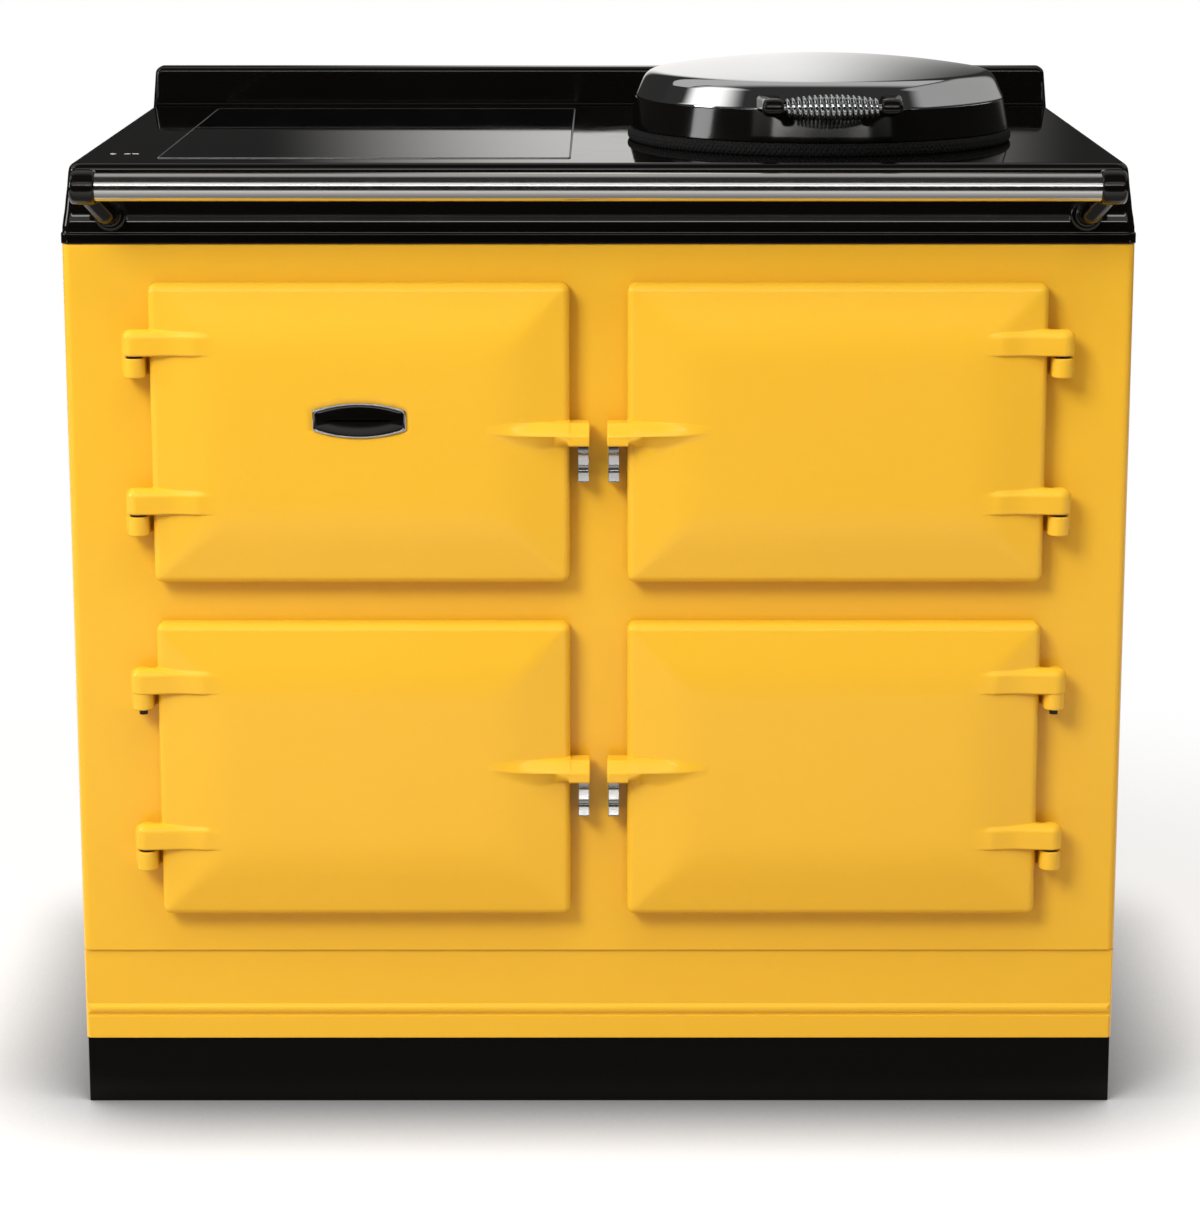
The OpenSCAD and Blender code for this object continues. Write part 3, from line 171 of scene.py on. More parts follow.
def behind_the_hob(tree):
    """Bright in the middle of the card, which the deck mirrors, and dark at its ends."""
    at = axes(tree)
    away = calc(tree, "ABSOLUTE", calc(tree, "SUBTRACT", at["X"], 0.12))
    pool = calc(tree, "MULTIPLY", between(tree, away, 0.12, 0.72, 1, 0), between(tree, at["Z"], 1.75, 2.5, 1, 0.85))
    return calc(tree, "MULTIPLY_ADD", pool, 0.95, 0.03)


def before_the_front(tree):
    """Black, with a soft upper edge to the white above it."""
    return between(tree, axes(tree)["Z"], 2.1, 2.75, 0.012, 0.95)


def floor_tone(tree):
    """Grey floor as the rail mirrors it, lighter away from the cooker, then black."""
    far = axes(tree)["Y"]
    return calc(tree, "MULTIPLY", between(tree, far, -1.9, -0.4, 0.85, 0.25), between(tree, far, -2.7, -2.0, 0.04, 1))


def strip_tone(tree):
    """A long lamp high in front: it draws the bright line along the rail and the casting's edges."""
    up = axes(tree)["Z"]
    band = calc(tree, "MULTIPLY", between(tree, up, 2.12, 2.3, 0, 1), between(tree, up, 2.32, 2.5, 1, 0))
    return calc(tree, "MULTIPLY_ADD", band, 8.0, 0.02)


def overhead_tone(tree):
    """Dark over the front, where the lid's bevel looks, and lighter over the dome."""
    return between(tree, axes(tree)["Y"], -0.6, 0.6, 0.035, 0.5)


def seen_from_lid(turn, rise, reach=3.3):
    """A point seen from the lid at a turn to the left of the front and a rise, in degrees."""
    a, e = math.radians(turn), math.radians(rise)
    return (0.2 - reach * math.sin(a) * math.cos(e), -0.1 - reach * math.cos(a) * math.cos(e),
            0.96 + reach * math.sin(e))


def panel(name, directions, strength, soft):
    """A softbox with soft edges, seen in the lid's bevel."""
    def glow(tree):
        across, whole = axes(tree, "UV"), strength
        for axis in ("X", "Y"):
            whole = calc(tree, "MULTIPLY", between(tree, across[axis], 0.0, soft, 0, 1), whole)
            whole = calc(tree, "MULTIPLY", between(tree, across[axis], 1 - soft, 1.0, 1, 0), whole)
        return calc(tree, "ADD", whole, 0.03)
    card(name, [seen_from_lid(turn, rise) for turn, rise in directions], glow)


left, right, front, back, top = -4, 4, -4.4, 2.6, 3.3
card("card_behind_hob", [(left, back, 0), (right, back, 0), (right, back, top), (left, back, top)], behind_the_hob)
card("card_before_front", [(right, front, 0), (left, front, 0), (left, front, 2.75), (right, front, 2.75)],
     before_the_front)
card("card_on_floor", [(-3, front, 0.012), (3, front, 0.012), (3, -0.3, 0.012), (-3, -0.3, 0.012)], floor_tone)
card("card_overhead", [(left, -3.25, top), (left, back, top), (right, back, top), (right, -3.25, top)], overhead_tone)
card("card_left", [(left, front, 0), (left, back, 0), (left, back, top), (left, front, top)], 0.035)
card("card_right", [(right, back, 0), (right, front, 0), (right, front, top), (right, back, top)], 0.035)
card("strip_lamp", [(2.4, -4.35, 2.12), (-2.4, -4.35, 2.12), (-2.4, -4.35, 2.5), (2.4, -4.35, 2.5)], strip_tone)
panel("panel_left", [(57, 56), (57, 20), (106, 8), (106, 46)], 1.5, 0.4)
panel("panel_right", [(-160, 30), (-160, -8), (-62, 20), (-62, 48)], 0.36, 0.16)

# The key lamp shapes the doors and casts their shadows. Of the lamps, reflections show only the
# tall softbox on the left.
for name, place, aim, width, height, power in (
        ("key_lamp", (-2.8, -4.0, 4.2), (0, -0.3, 0.45), 2.2, 2.2, 262),
        ("softbox_left", (-2.9, -0.7, 1.75), (0.1, -0.2, 0.9), 0.8, 1.7, 26),
        ("softbox_overhead", (0.1, -1.3, 2.9), (0, -0.3, 0.5), 2.4, 0.6, 22),
        ("softbox_right", (2.9, -1.8, 1.9), (0, -0.3, 0.5), 1.0, 1.6, 11)):
    lamp = bpy.data.objects.new(name, bpy.data.lights.new(name, "AREA"))
    scene.collection.objects.link(lamp)
    lamp.data.shape = "RECTANGLE"
    lamp.data.size, lamp.data.size_y = width, height
    lamp.data.energy = power
    lamp.location = place
    away = np.array(place) - np.array(aim)
    lamp.rotation_euler = (math.atan2(math.hypot(away[0], away[1]), away[2]), 0, math.atan2(away[0], -away[1]))
    lamp.visible_camera = False
    lamp.visible_glossy = name == "softbox_left"


# Plinth ---------------------------------------------------------------------------------------
# A folded sheet steel box that carries the range, powder coated satin black. The fine texture of
# the coat breaks up its reflections; its folds are rounded by the press brake.
def grain(tree, size_mm, detail=3.0, stretch=(1, 1, 1)):
    """Noise whose grains are about size_mm across, stretched along an axis by a factor."""
    laid = add(tree, "ShaderNodeMapping", {"Vector": place_on(tree), "Scale": [1 / s for s in stretch]})
    return add(tree, "ShaderNodeTexNoise", {"Vector": laid.outputs[0], "Scale": 1000 / size_mm,
                                            "Detail": detail}).outputs["Fac"]


def relief(paint, height, depth_mm):
    """Lets a height pattern bump the surface by depth_mm, on top of any bump already there."""
    tree = paint.node_tree
    normal = tree.nodes["Principled BSDF"].inputs["Normal"]
    bump = add(tree, "ShaderNodeBump", {"Height": height, "Distance": depth_mm / 1000, "Strength": 1.0})
    if normal.is_linked:
        tree.links.new(normal.links[0].from_socket, bump.inputs["Normal"])
    tree.links.new(bump.outputs[0], normal)


def vary(paint, socket, factor, low, high):
    """Spreads a socket between low and high by a factor from 0 to 1: numbers or colour codes."""
    tree = paint.node_tree
    if isinstance(low, str):
        mix = add(tree, "ShaderNodeMix", {"Factor": factor, 6: srgb(low), 7: srgb(high)}, data_type="RGBA").outputs[2]
    else:
        mix = add(tree, "ShaderNodeMapRange", {"Value": factor, "From Min": 0.3, "From Max": 0.7, "To Min": low,
                                               "To Max": high}).outputs[0]
    tree.links.new(mix, tree.nodes["Principled BSDF"].inputs[socket])


def finish(name, colour, rough, tint=None, bumps=(), **shader):
    """A new material. Its colour drifts by tint (code, code, grain), its roughness is a number or
    drifts by (low, high, grain), and a bump is (depth_mm, grain); a grain is size, detail, stretch."""
    paint = bpy.data.materials.new(name)
    tree = emptied(paint)
    drifts = isinstance(rough, tuple)
    skin = add(tree, "ShaderNodeBsdfPrincipled", {key.replace("_", " "): value for key, value in shader.items()})
    skin.inputs["Base Color"].default_value = srgb(colour)
    skin.inputs["Roughness"].default_value = (rough[0] + rough[1]) / 2 if drifts else rough
    add(tree, "ShaderNodeOutputMaterial", {"Surface": skin.outputs[0]})
    if tint:
        vary(paint, "Base Color", grain(tree, *tint[2:]), *tint[:2])
    if drifts:
        vary(paint, "Roughness", grain(tree, *rough[2:]), *rough[:2])
    for depth, *size in bumps:
        relief(paint, grain(tree, *size), depth)
    return paint


def metal(name, colour, rough, **more):
    return finish(name, colour, rough, Metallic=1.0, **more)


def dress(paint, edge_mm, *names):
    """Gives CAD nodes their finish, and rounds their sharp edges by edge_mm."""
    for name in names:
        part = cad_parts[name]
        part.data.materials.clear()
        part.data.materials.append(paint)
        for face in part.data.polygons:
            face.use_smooth = True
        part.modifiers.new("weld", "WELD").merge_threshold = 0.00002
        if edge_mm:
            merge = part.modifiers.new("flat faces", "DECIMATE")
            merge.decimate_type = "DISSOLVE"
            merge.angle_limit = math.radians(0.4)
            soften = part.modifiers.new("edges", "BEVEL")
            soften.width = edge_mm / 1000
            soften.segments = 3
            soften.limit_method = "ANGLE"
            soften.angle_limit = math.radians(32)
        else:
            part.modifiers.new("sharp edges", "EDGE_SPLIT").split_angle = math.radians(34)
        part.modifiers.new("shading", "WEIGHTED_NORMAL").keep_sharp = True


powder_coat = finish("satin_black_powder_coat", "#070606", (0.36, 0.48, 60), bumps=[(0.05, 0.9)],
                     Specular_IOR_Level=0.14)
dress(powder_coat, 1.6, "plinth")


# Front plate and hinge bosses -----------------------------------------------------------------
# One iron casting in yellow vitreous enamel, with the oven mouths cut through it and round bosses
# under the doors' hinge arms. Its corners are softened by the thick enamel.
def clamp(value, low, high):
    return min(max(value, low), high)


def welded(mesh, gap, crease=None):
    """Welds a mesh and turns its faces outwards; with a crease in degrees, it is smooth below it."""
    skin = bmesh.new()
    skin.from_mesh(mesh)
    bmesh.ops.remove_doubles(skin, verts=skin.verts, dist=gap)
    bmesh.ops.recalc_face_normals(skin, faces=skin.faces)
    if crease:
        for face in skin.faces:
            face.smooth = True
        for edge in skin.edges:
            edge.smooth = edge.calc_face_angle(0) < math.radians(crease)
    skin.to_mesh(mesh)
    skin.free()
    return mesh


def meshed(name, shape, laid=()):
    """The mesh of a shape, which is points in millimetres and faces; laid holds each face's UVs."""
    mesh = bpy.data.meshes.new(name)
    mesh.from_pydata([(x / 1000, y / 1000, z / 1000) for x, y, z in shape[0]], [], shape[1])
    if laid:
        sheet = mesh.uv_layers.new(name="along_the_rope")
        for face, corners in zip(mesh.polygons, laid):
            for loop, corner in zip(face.loop_indices, corners):
                sheet.data[loop].uv = corner
    return welded(mesh, 2e-6, 42)


def keep(name, mesh, body, replaced):
    """A finished piece on its body and the CAD nodes that it stands for."""
    made = bpy.data.objects.new(name, mesh)
    mesh.name = name
    scene.collection.objects.link(made)
    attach(made, body)
    if replaced:
        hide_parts(*replaced)
    return made


def settle(name, shape, paint, body, slot, *replaced):
    """Makes a piece from a shape, with its flat faces shaded flat."""
    mesh = meshed(name, shape)
    mesh.materials.append(paint)
    keep(name, mesh, body, replaced).modifiers.new("shading", "WEIGHTED_NORMAL").keep_sharp = True


def inset(outline, depth):
    """A closed outline, drawn anticlockwise, moved inwards by depth with mitred corners."""
    moved = []
    for i, (x, y) in enumerate(outline):
        last, after = outline[i - 1], outline[(i + 1) % len(outline)]
        ax, ay, bx, by = x - last[0], y - last[1], after[0] - x, after[1] - y
        a, b = math.hypot(ax, ay), math.hypot(bx, by)
        nx, ny = -ay / a - by / b, ax / a + bx / b
        size = max((nx * nx + ny * ny) / 2, 0.3)
        moved.append((x + nx * depth / size, y + ny * depth / size))
    return moved


def loft(rings, closed=False):
    """Points and faces of a skin over rings of points, with its two ends filled or joined."""
    count = len(rings[0])
    points = [point for ring in rings for point in ring]
    faces = []
    for i in range(len(rings) if closed else len(rings) - 1):
        j = (i + 1) % len(rings)
        for k in range(count):
            m = (k + 1) % count
            faces.append((i * count + k, i * count + m, j * count + m, j * count + k))
    if not closed:
        faces.append(tuple(range(count))[::-1])
        faces.append(tuple(range((len(rings) - 1) * count, len(rings) * count)))
    return points, faces


def stacked(outline, levels, axis=2):
    """A slab along an axis: its outline in the other two, inset at each level (place, inset)."""
    return loft([[(*p[:axis], place, *p[axis:]) for p in inset(outline, cut)] for place, cut in levels])


def arc(x, y, radius, first, last, steps):
    """Points of an arc about (x, y), angles in degrees."""
    turns = [math.radians(first + (last - first) * i / steps) for i in range(steps + 1)]
    return [(x + radius * math.cos(t), y + radius * math.sin(t)) for t in turns]


def rounding(radius, steps=5):
    """Pairs of height and inset over a rounded edge, from the side face up to the top face."""
    return [(rise, radius - out) for out, rise in arc(0, 0, radius, 0, 90, steps)]


def slab_levels(low, high, low_radius, high_radius, steps=5):
    """Levels (height, inset) of a slab from low to high with rounded edges."""
    foot = [(low + low_radius - rise, cut) for rise, cut in reversed(rounding(low_radius, steps))]
    return foot + [(high - high_radius + rise, cut) for rise, cut in rounding(high_radius, steps)]


def gather(shapes):
    """Joins several shapes into one."""
    points, faces = [], []
    for more_points, more_faces in shapes:
        start = len(points)
        points += more_points
        faces += [tuple(start + i for i in face) for face in more_faces]
    return points, faces


def moved_to(shape, move):
    """A shape with each point moved by a function of its three numbers."""
    return [move(*point) for point in shape[0]], shape[1]


def vitreous_enamel(name, colour, deep, peel=0.010, dull=0.0):
    """Glass over a slightly uneven ground, so its gloss swims a little, with a fine orange peel."""
    return finish(name, colour, (0.085 + dull, 0.135 + dull, 35), tint=(colour, deep, 240, 2),
                  bumps=[(0.10, 60, 1), (peel, 7, 1)], IOR=1.5)


yellow_enamel = vitreous_enamel("yellow_vitreous_enamel", "#EFBC32", "#ECB82E", dull=0.12)
front_y = -282.4
pin_x, pin_y = 426, front_y - 18
# Feet of the arms over the bosses. The lower doors' upper arms stand at 412, so the second boss
# sits 5 mm high.
arm_feet = (261, 417, 583, 731)
dress(yellow_enamel, 1.4, "front_plate")
# Plan of a boss: a half round nose, straight sides, and a small flare on to the plate
flare = [(10.2, 14.5), (10.8, 16), (12, 17.3), (13.5, 18), (14, 19)]
boss_plan = (arc(pin_x, pin_y, 10, 180, 360, 20) + [(pin_x + x, pin_y + y) for x, y in flare]
             + [(pin_x - x, pin_y + y) for x, y in reversed(flare)])
bosses = [stacked(boss_plan, slab_levels(foot - 20.4, foot - 2.4, 1.6, 1.0)) for foot in arm_feet]
bosses += [moved_to(boss, lambda x, y, z: (-x, y, z)) for boss in bosses]
settle("hinge_boss_castings", gather(bosses), yellow_enamel, "range", "yellow_enamel", "hinge_bosses")
dress(yellow_enamel, 1.2, "base_moulding")


# Doors ----------------------------------------------------------------------------------------
# Four cast iron doors in yellow vitreous enamel. Each is a shallow pillow with hips that run in
# from its corners, cast in one with two hinge arms and with the lug that its catch takes.
# Across a door u runs from its latch edge to its hinge edge, w forward from the plate, v upward.
door_width, door_foot, door_corner = 386, 26.5, 8.0
door_places = {"upper_left_door": (-1, 517, 280), "upper_right_door": (1, 517, 280),
               "lower_left_door": (-1, 195, 283), "lower_right_door": (1, 195, 283)}
# An arm's height, the middle of the lower arm above the door's foot and of the upper below its top
arm_tall, arm_rise, arm_drop, strap_from = 24, 78, 54, 328
lug_front, lug_slope, lug_reach = 33.0, 5.6, 84
lug_up = 1.5
badge_half, badge_tall, badge_bow, badge_up, badge_seat = 43.0, 16.5, 7.0, 15, 27.4


def graded(length, spots, finest=0.4, growth=0.18, coarsest=3.4):
    """Stations from 0 to length, close together at the spots and wider between them.

    A spot is a place or a pair of places: between a pair, stations stay close together.
    """
    def step_at(x):
        gaps = [max(s[0] - x, x - s[1], 0) if isinstance(s, tuple) else abs(x - s) for s in spots]
        return min(coarsest, finest + growth * min(gaps))
    stations = [0.0]
    while stations[-1] < length:
        stations.append(stations[-1] + step_at(stations[-1] + 0.5 * step_at(stations[-1])))
    return [x * length / stations[-1] for x in stations]


def smooth_max(a, b, reach):
    blend = np.maximum(reach - np.abs(a - b), 0) / reach
    return np.maximum(a, b) + blend * blend * reach / 4


def smooth_step(low, high, x):
    t = np.clip((x - low) / (high - low), 0, 1)
    return t * t * (3 - 2 * t)


def edge_drop(gone, radius):
    """How far a rounded edge has dropped at a distance gone in from its outline."""
    left = np.clip(radius - gone, 0, radius)
    return radius - np.sqrt(radius * radius - left * left)


def arm_places(height):
    """Heights of the feet of a door's two hinge arms."""
    return arm_rise - arm_tall / 2, height - arm_drop - arm_tall / 2


def pillow(inward):
    """Rise of the pillow at a distance in from the door's outline: a plain slope that eases level."""
    plain, ease = 28, 56
    t = np.clip((inward - plain) / ease, 0, 1)
    return 0.164 * (np.minimum(inward, plain) + ease * (t - t ** 3 + t ** 4 / 2))


def strap_front(u):
    """How far the strap of a hinge arm stands in front of the plate."""
    return 24 + 5 * (u - 336) / 63.5


def with_arms(w, bare, u, v, feet):
    """The face w with its two hinge arms, whose straps lie on the bare pillow."""
    for foot in feet:
        over, under = v - foot, foot + arm_tall - v
        drop = edge_drop(over, 2.0) + edge_drop(under, 8.0)
        proud = bare + 2.4 * smooth_step(331, 345, u)
        arm = smooth_max(strap_front(u), proud, 2.0) - drop + np.minimum(np.minimum(over, under), 0) * 9
        w = smooth_max(w, np.where(u > strap_from, arm, 0), 1.8)
    return w


def with_lug(w, bare, u, rise):
    """The face w with its lug: a block at the latch edge that runs out over the face as a fairing.

    Its top slopes up from a level ridge. Its underside is upright at the block and hollow further in.
    """
    front = np.interp(u, [0, 9, 74, lug_reach], [lug_front, lug_front, 29.3, 25.5])
    top = np.interp(u, [0, 50, lug_reach], [10.5, 10.5, 5.5])
    ridge = np.interp(u, [0, 50, lug_reach], [-1.2, -1.0, 2.2])
    under = np.interp(u, [0, 5, 30, 74, lug_reach], [-10.5, -11.5, -15.8, -3.0, -0.5])
    crisp = np.interp(u, [0, 3, 14, lug_reach], [9, 4, 0.85, 0.85])
    up = np.clip((rise - ridge) / (top - ridge), 0, 1)
    down = np.clip((ridge - rise) / (ridge - under), 0, 1)
    slope = np.minimum(lug_slope, np.maximum(front - bare + 0.2, 0))
    lug = front - slope * up ** 1.25 - np.maximum(front - bare + 0.6, 0) * down ** crisp
    lug -= 7 * (np.maximum(rise - top, 0) + np.maximum(under - rise, 0))
    return smooth_max(w, np.where(u < lug_reach, lug, 0), 1.2)


def with_badge_seat(w, x, z):
    """The face w with a shallow seat under the badge, soft at its barrel shaped edge."""
    half, bow = badge_half + 0.2, badge_bow
    ball = (half * half + bow * bow) / (2 * bow)
    away = np.maximum(np.abs(x) - half, np.hypot(x, np.abs(z) + ball - badge_tall - 0.2) - ball)
    return np.where(away < 0, np.minimum(w, badge_seat), w - 0.5 * (1 - np.clip(away / 1.2, 0, 1)) ** 2)


def door_face(height, badge):
    """Grids u, w and v of the front of a door's casting."""
    feet = arm_places(height)
    middle = height / 2 + lug_up
    us = np.array(graded(door_width, [0, door_width, (6, 14), 80]))
    vs = np.array(graded(height, [0, height, (middle - 14.5, middle - 8), middle - 1, (middle + 8, middle + 11),
                                  feet[0], feet[1], (feet[0] + 20, feet[0] + 24), (feet[1] + 20, feet[1] + 24)],
                         finest=0.42, growth=0.22))
    u, v = np.meshgrid(us, vs, indexing="ij")
    # Round the corners of the outline: a square of the grid becomes a quarter disc
    a = np.clip((door_corner - np.minimum(u, door_width - u)) / door_corner, 0, 1)
    b = np.clip((door_corner - np.minimum(v, height - v)) / door_corner, 0, 1)
    pull_u = door_corner * (a - a * np.sqrt(1 - b * b / 2)) * np.where(u < door_width / 2, 1, -1)
    pull_v = door_corner * (b - b * np.sqrt(1 - a * a / 2)) * np.where(v < height / 2, 1, -1)
    u, v = u + pull_u, v + pull_v
    from_u, from_v = np.minimum(u, door_width - u), np.minimum(v, height - v)
    edge = np.where((from_u < door_corner) & (from_v < door_corner),
                    door_corner - np.hypot(door_corner - from_u, door_corner - from_v), np.minimum(from_u, from_v))
    # The pillow: both slopes rise alike, and the hip between them softens towards the middle
    meet = -smooth_max(-from_u, -from_v, 1.0 + 0.22 * np.minimum(from_u, from_v))
    bare = 20 + pillow(np.maximum(meet, 0))
    w = with_arms(bare - edge_drop(edge, 6.5), bare, u, v, feet)
    w = with_lug(w, bare, u, v - middle)
    return u, with_badge_seat(w, u - door_width / 2, v - height / 2 - badge_up) if badge else w, v


def door_shape(side, height, badge):
    """A door's casting in the range's frame, its foot at height 0; side is -1 for left hand doors."""
    u, w, v = door_face(height, badge)
    nu, nv = u.shape
    index = np.arange(nu * nv).reshape(nu, nv)
    points = list(zip(u.ravel(), w.ravel(), v.ravel()))
    faces = [(index[i, j], index[i + 1, j], index[i + 1, j + 1], index[i, j + 1])
             for i in range(nu - 1) for j in range(nv - 1)]
    # Sides, back rim and hollow, ring by ring round the border
    border = ([index[i, 0] for i in range(nu - 1)] + [index[nu - 1, j] for j in range(nv - 1)]
              + [index[i, nv - 1] for i in range(nu - 1, 0, -1)] + [index[0, j] for j in range(nv - 1, 0, -1)])
    last = border
    for deep, cut in ((4.2, 0), (3.4, 0.3), (3, 1.1), (3, 12), (16, 12)):
        ring = [len(points) + k for k in range(len(border))]
        points += [(clamp(points[i][0], cut, door_width - cut), deep, clamp(points[i][2], cut, height - cut))
                   for i in border]
        faces += [(last[k - 1], last[k], ring[k], ring[k - 1]) for k in range(len(border))]
        last = ring
    faces.append(tuple(last))
    # Overhanging eyes of the hinge arms
    strap = [(u, strap_front(u) + lift)
             for u, lift in ((372, -0.7), (376, -0.03), (380, 0.03), (386, 0.03), (392, 0.03))]
    arm_plan = strap + arc(399.5, 18, 11, 90, -133, 26) + [(384, 7.6), (372, 7.6)]
    eyes = [stacked(arm_plan[::-1], slab_levels(foot, foot + arm_tall, 2.0, 7.99, 8))
            for foot in arm_places(height)]
    # Overhanging block of the lug, drawn as its section and run along the door
    nose = [(-1.9, -10.5), (-1.0, -10.2), (-0.3, -9.4), (0, -8.4), (0, -2.2), (-0.15, -1.1), (-0.55, 0.2)]
    brow = [(0.8, 7.6), (-0.1, 9.2), (-1.0, 10.1), (-2.2, 10.5)]
    section = ([(8.5, -10.5)] + [(lug_front + w, z) for w, z in nose]
               + [(lug_front - lug_slope + w, z) for w, z in brow]
               + [(8.5, 10.5), (7.3, 10.1), (7.0, 9.0), (7.0, -9.0), (7.3, -10.1)])
    block = stacked([(w, height / 2 + lug_up + z) for w, z in section], slab_levels(-18.5, 1.2, 1.5, 0.6, 4), 0)
    return moved_to(gather([(points, faces), *eyes, block]),
                    lambda x, w, z: (side * (door_foot + x), front_y - w, z))


for name, (side, foot, height) in door_places.items():
    casting = door_shape(side, height, name == "upper_left_door")
    settle(name + "_casting", moved_to(casting, lambda x, y, z: (x, y, z + foot)), yellow_enamel,
           name + "_assembly", "yellow_enamel", name)


# Hob casting ----------------------------------------------------------------------------------
# One iron casting in black vitreous enamel: a lip over the body, an upright face that hollows in
# under a rounded nose, and a flat deck with openings for the glass and the hotplate.
def box_ring(x0, x1, y0, y1, radius, z, steps=5, rear=None):
    """A rectangle with round corners at height z, drawn anticlockwise; rear is its rear radius."""
    back = radius if rear is None else rear
    ring = []
    for x, y, r, start in ((x1 - radius, y0 + radius, radius, 270), (x1 - back, y1 - back, back, 0),
                           (x0 + back, y1 - back, back, 90), (x0 + radius, y0 + radius, radius, 180)):
        ring += [(*point, z) for point in arc(x, y, r, start, start + 90, steps)]
    return ring


def circle_ring(x, y, radius, z, steps=180):
    return [(*point, z) for point in arc(x, y, radius, 0, 360, steps)[:-1]]


def plate_with_holes(outer, *holes):
    """A flat plate between an outer ring and the rings of its openings."""
    flat = bmesh.new()
    for ring in (outer, *holes):
        corners = [flat.verts.new(point) for point in ring]
        for i, corner in enumerate(corners):
            flat.edges.new((corners[i - 1], corner))
    bmesh.ops.triangle_fill(flat, use_beauty=True, use_dissolve=False, edges=flat.edges)
    flat.verts.index_update()
    shape = [tuple(v.co) for v in flat.verts], [tuple(v.index for v in face.verts) for face in flat.faces]
    flat.free()
    return shape


def sleeve(*rings):
    """An open skin over rings of points."""
    points, faces = loft(rings)
    return points, faces[:-2]


def fall_to_front(paint, degrees=1.2):
    """Tips the shading of level faces a little towards the front, as the cast deck falls."""
    tree = paint.node_tree
    relief(paint, calc(tree, "MULTIPLY", axes(tree)["Y"], 1000 * math.tan(math.radians(degrees))), 1.0)
    return paint


black_enamel = vitreous_enamel("black_vitreous_enamel", "#060505", "#090807", 0.006)
deck_enamel = fall_to_front(vitreous_enamel("black_deck_enamel", "#060505", "#090807", 0.006, -0.055))
rear_y, deck_z, hob_z = 350.6, 897, 905
# At each height, how far the front and the sides lie in from the lip, from the lip up to the nose
face_line = [(831.0, 1.0, 0), (831.4, 0.4, 0), (832.2, 0, 0), (839.4, 0, 0), (840.4, 0.3, 0.1), (841.0, 0.9, 0.5),
             (841.4, 1.7, 0.9), (842.4, 2.0, 1.1), (846, 2.0, 1.2), (848.5, 2.08, 1.6), (850.5, 2.35, 1.9),
             (852.5, 2.85, 2.1), (855, 3.6, 2.4), (858, 4.35, 2.9), (862, 5.1, 3.5), (867, 5.7, 4.0),
             (873, 6.0, 4.7), (879, 6.0, 5.6), (884, 5.55, 6.4), (888, 4.6, 6.9), (891, 3.5, 7.4), (893.5, 2.6, 7.8),
             (895.5, 2.15, 8.1), (897.5, 2.0, 8.4)]
face_line += [(hob_z - 7.2 + rise, 2.0 + cut, 8.6 + cut) for rise, cut in rounding(7.2, 9)]
skirt = [box_ring(side_in - 493.5, 493.5 - side_in, front_in - 283.4, rear_y, 9, z, 10, 1.5)
         for z, front_in, side_in in face_line]
lining = [box_ring(-475.5, 475.5, -270.4, rear_y - 8, 6, z, 10, 1.5) for z in (deck_z, 831)]
hotplate_x, hotplate_y = 215, -39.4
glass_mouth = [box_ring(-407.6, -26.4, -238.0, 279.2, 3.5, z) for z in (hob_z, 900)]
glass_ledge = [box_ring(-397.0, -37.0, -227.4, 268.6, 2, z) for z in (900, deck_z)]
hotplate_mouth = [circle_ring(hotplate_x, hotplate_y, radius, z)
                  for radius, z in ((165.6, hob_z), (165, hob_z - 0.6), (165, deck_z))]
top_shapes = [sleeve(*skirt), sleeve(*lining), plate_with_holes(skirt[-1], glass_mouth[0], hotplate_mouth[0]),
              sleeve(*glass_mouth), plate_with_holes(glass_mouth[1], glass_ledge[0]), sleeve(*glass_ledge),
              sleeve(*hotplate_mouth), plate_with_holes(lining[0], glass_ledge[1], hotplate_mouth[2]),
              sleeve(skirt[0], lining[1])]
settle("hob_casting", gather(top_shapes), deck_enamel, "range", "black_enamel", "top_plate")

# Upstand along the back of the hob, bolted down from behind: a cast bar in the same black enamel
crest = arc(472.3, 939, 8, 0, 90, 8)
upstand_front = [(-483.6, 902), (483.6, 902)] + crest + [(-x, z) for x, z in reversed(crest)]
settle("upstand", stacked(upstand_front, slab_levels(326.6, 350.6, 6.0, 2.0, 7), 1), black_enamel, "range",
       "black_enamel", "rear_upstand")


# Induction glass ------------------------------------------------------------------------------
# A sheet of black glass-ceramic, ground and polished along its edge and bedded in the casting,
# with a fine satin aluminium trim over the joint.
def glass_ring(cut, z, corner):
    return box_ring(-407 + cut, -27 - cut, -237.4 + cut, 278.6 - cut, corner, z, 6)


hob_glass = fall_to_front(finish("black_hob_glass", "#060607", (0.02, 0.05, 80), IOR=1.53))
settle("induction_glass", loft([glass_ring(cut, z, 3) for z, cut in slab_levels(900.05, 906, 0.3, 1.0, 3)]),
       hob_glass, "range", "hob_glass", "hob_glass")
satin_trim = metal("satin_aluminium_trim", "#8E8F90", (0.36, 0.48, 3))
trim_section = ((0.1, 904.2), (0.1, 905.9), (-0.3, 906.1), (-1.0, 906.0), (-1.3, 905.6), (-1.3, 904.8), (-0.5, 904.2))
settle("glass_trim", loft([glass_ring(cut, z, 3 - cut / 2) for cut, z in trim_section], closed=True), satin_trim,
       "range", "chrome")


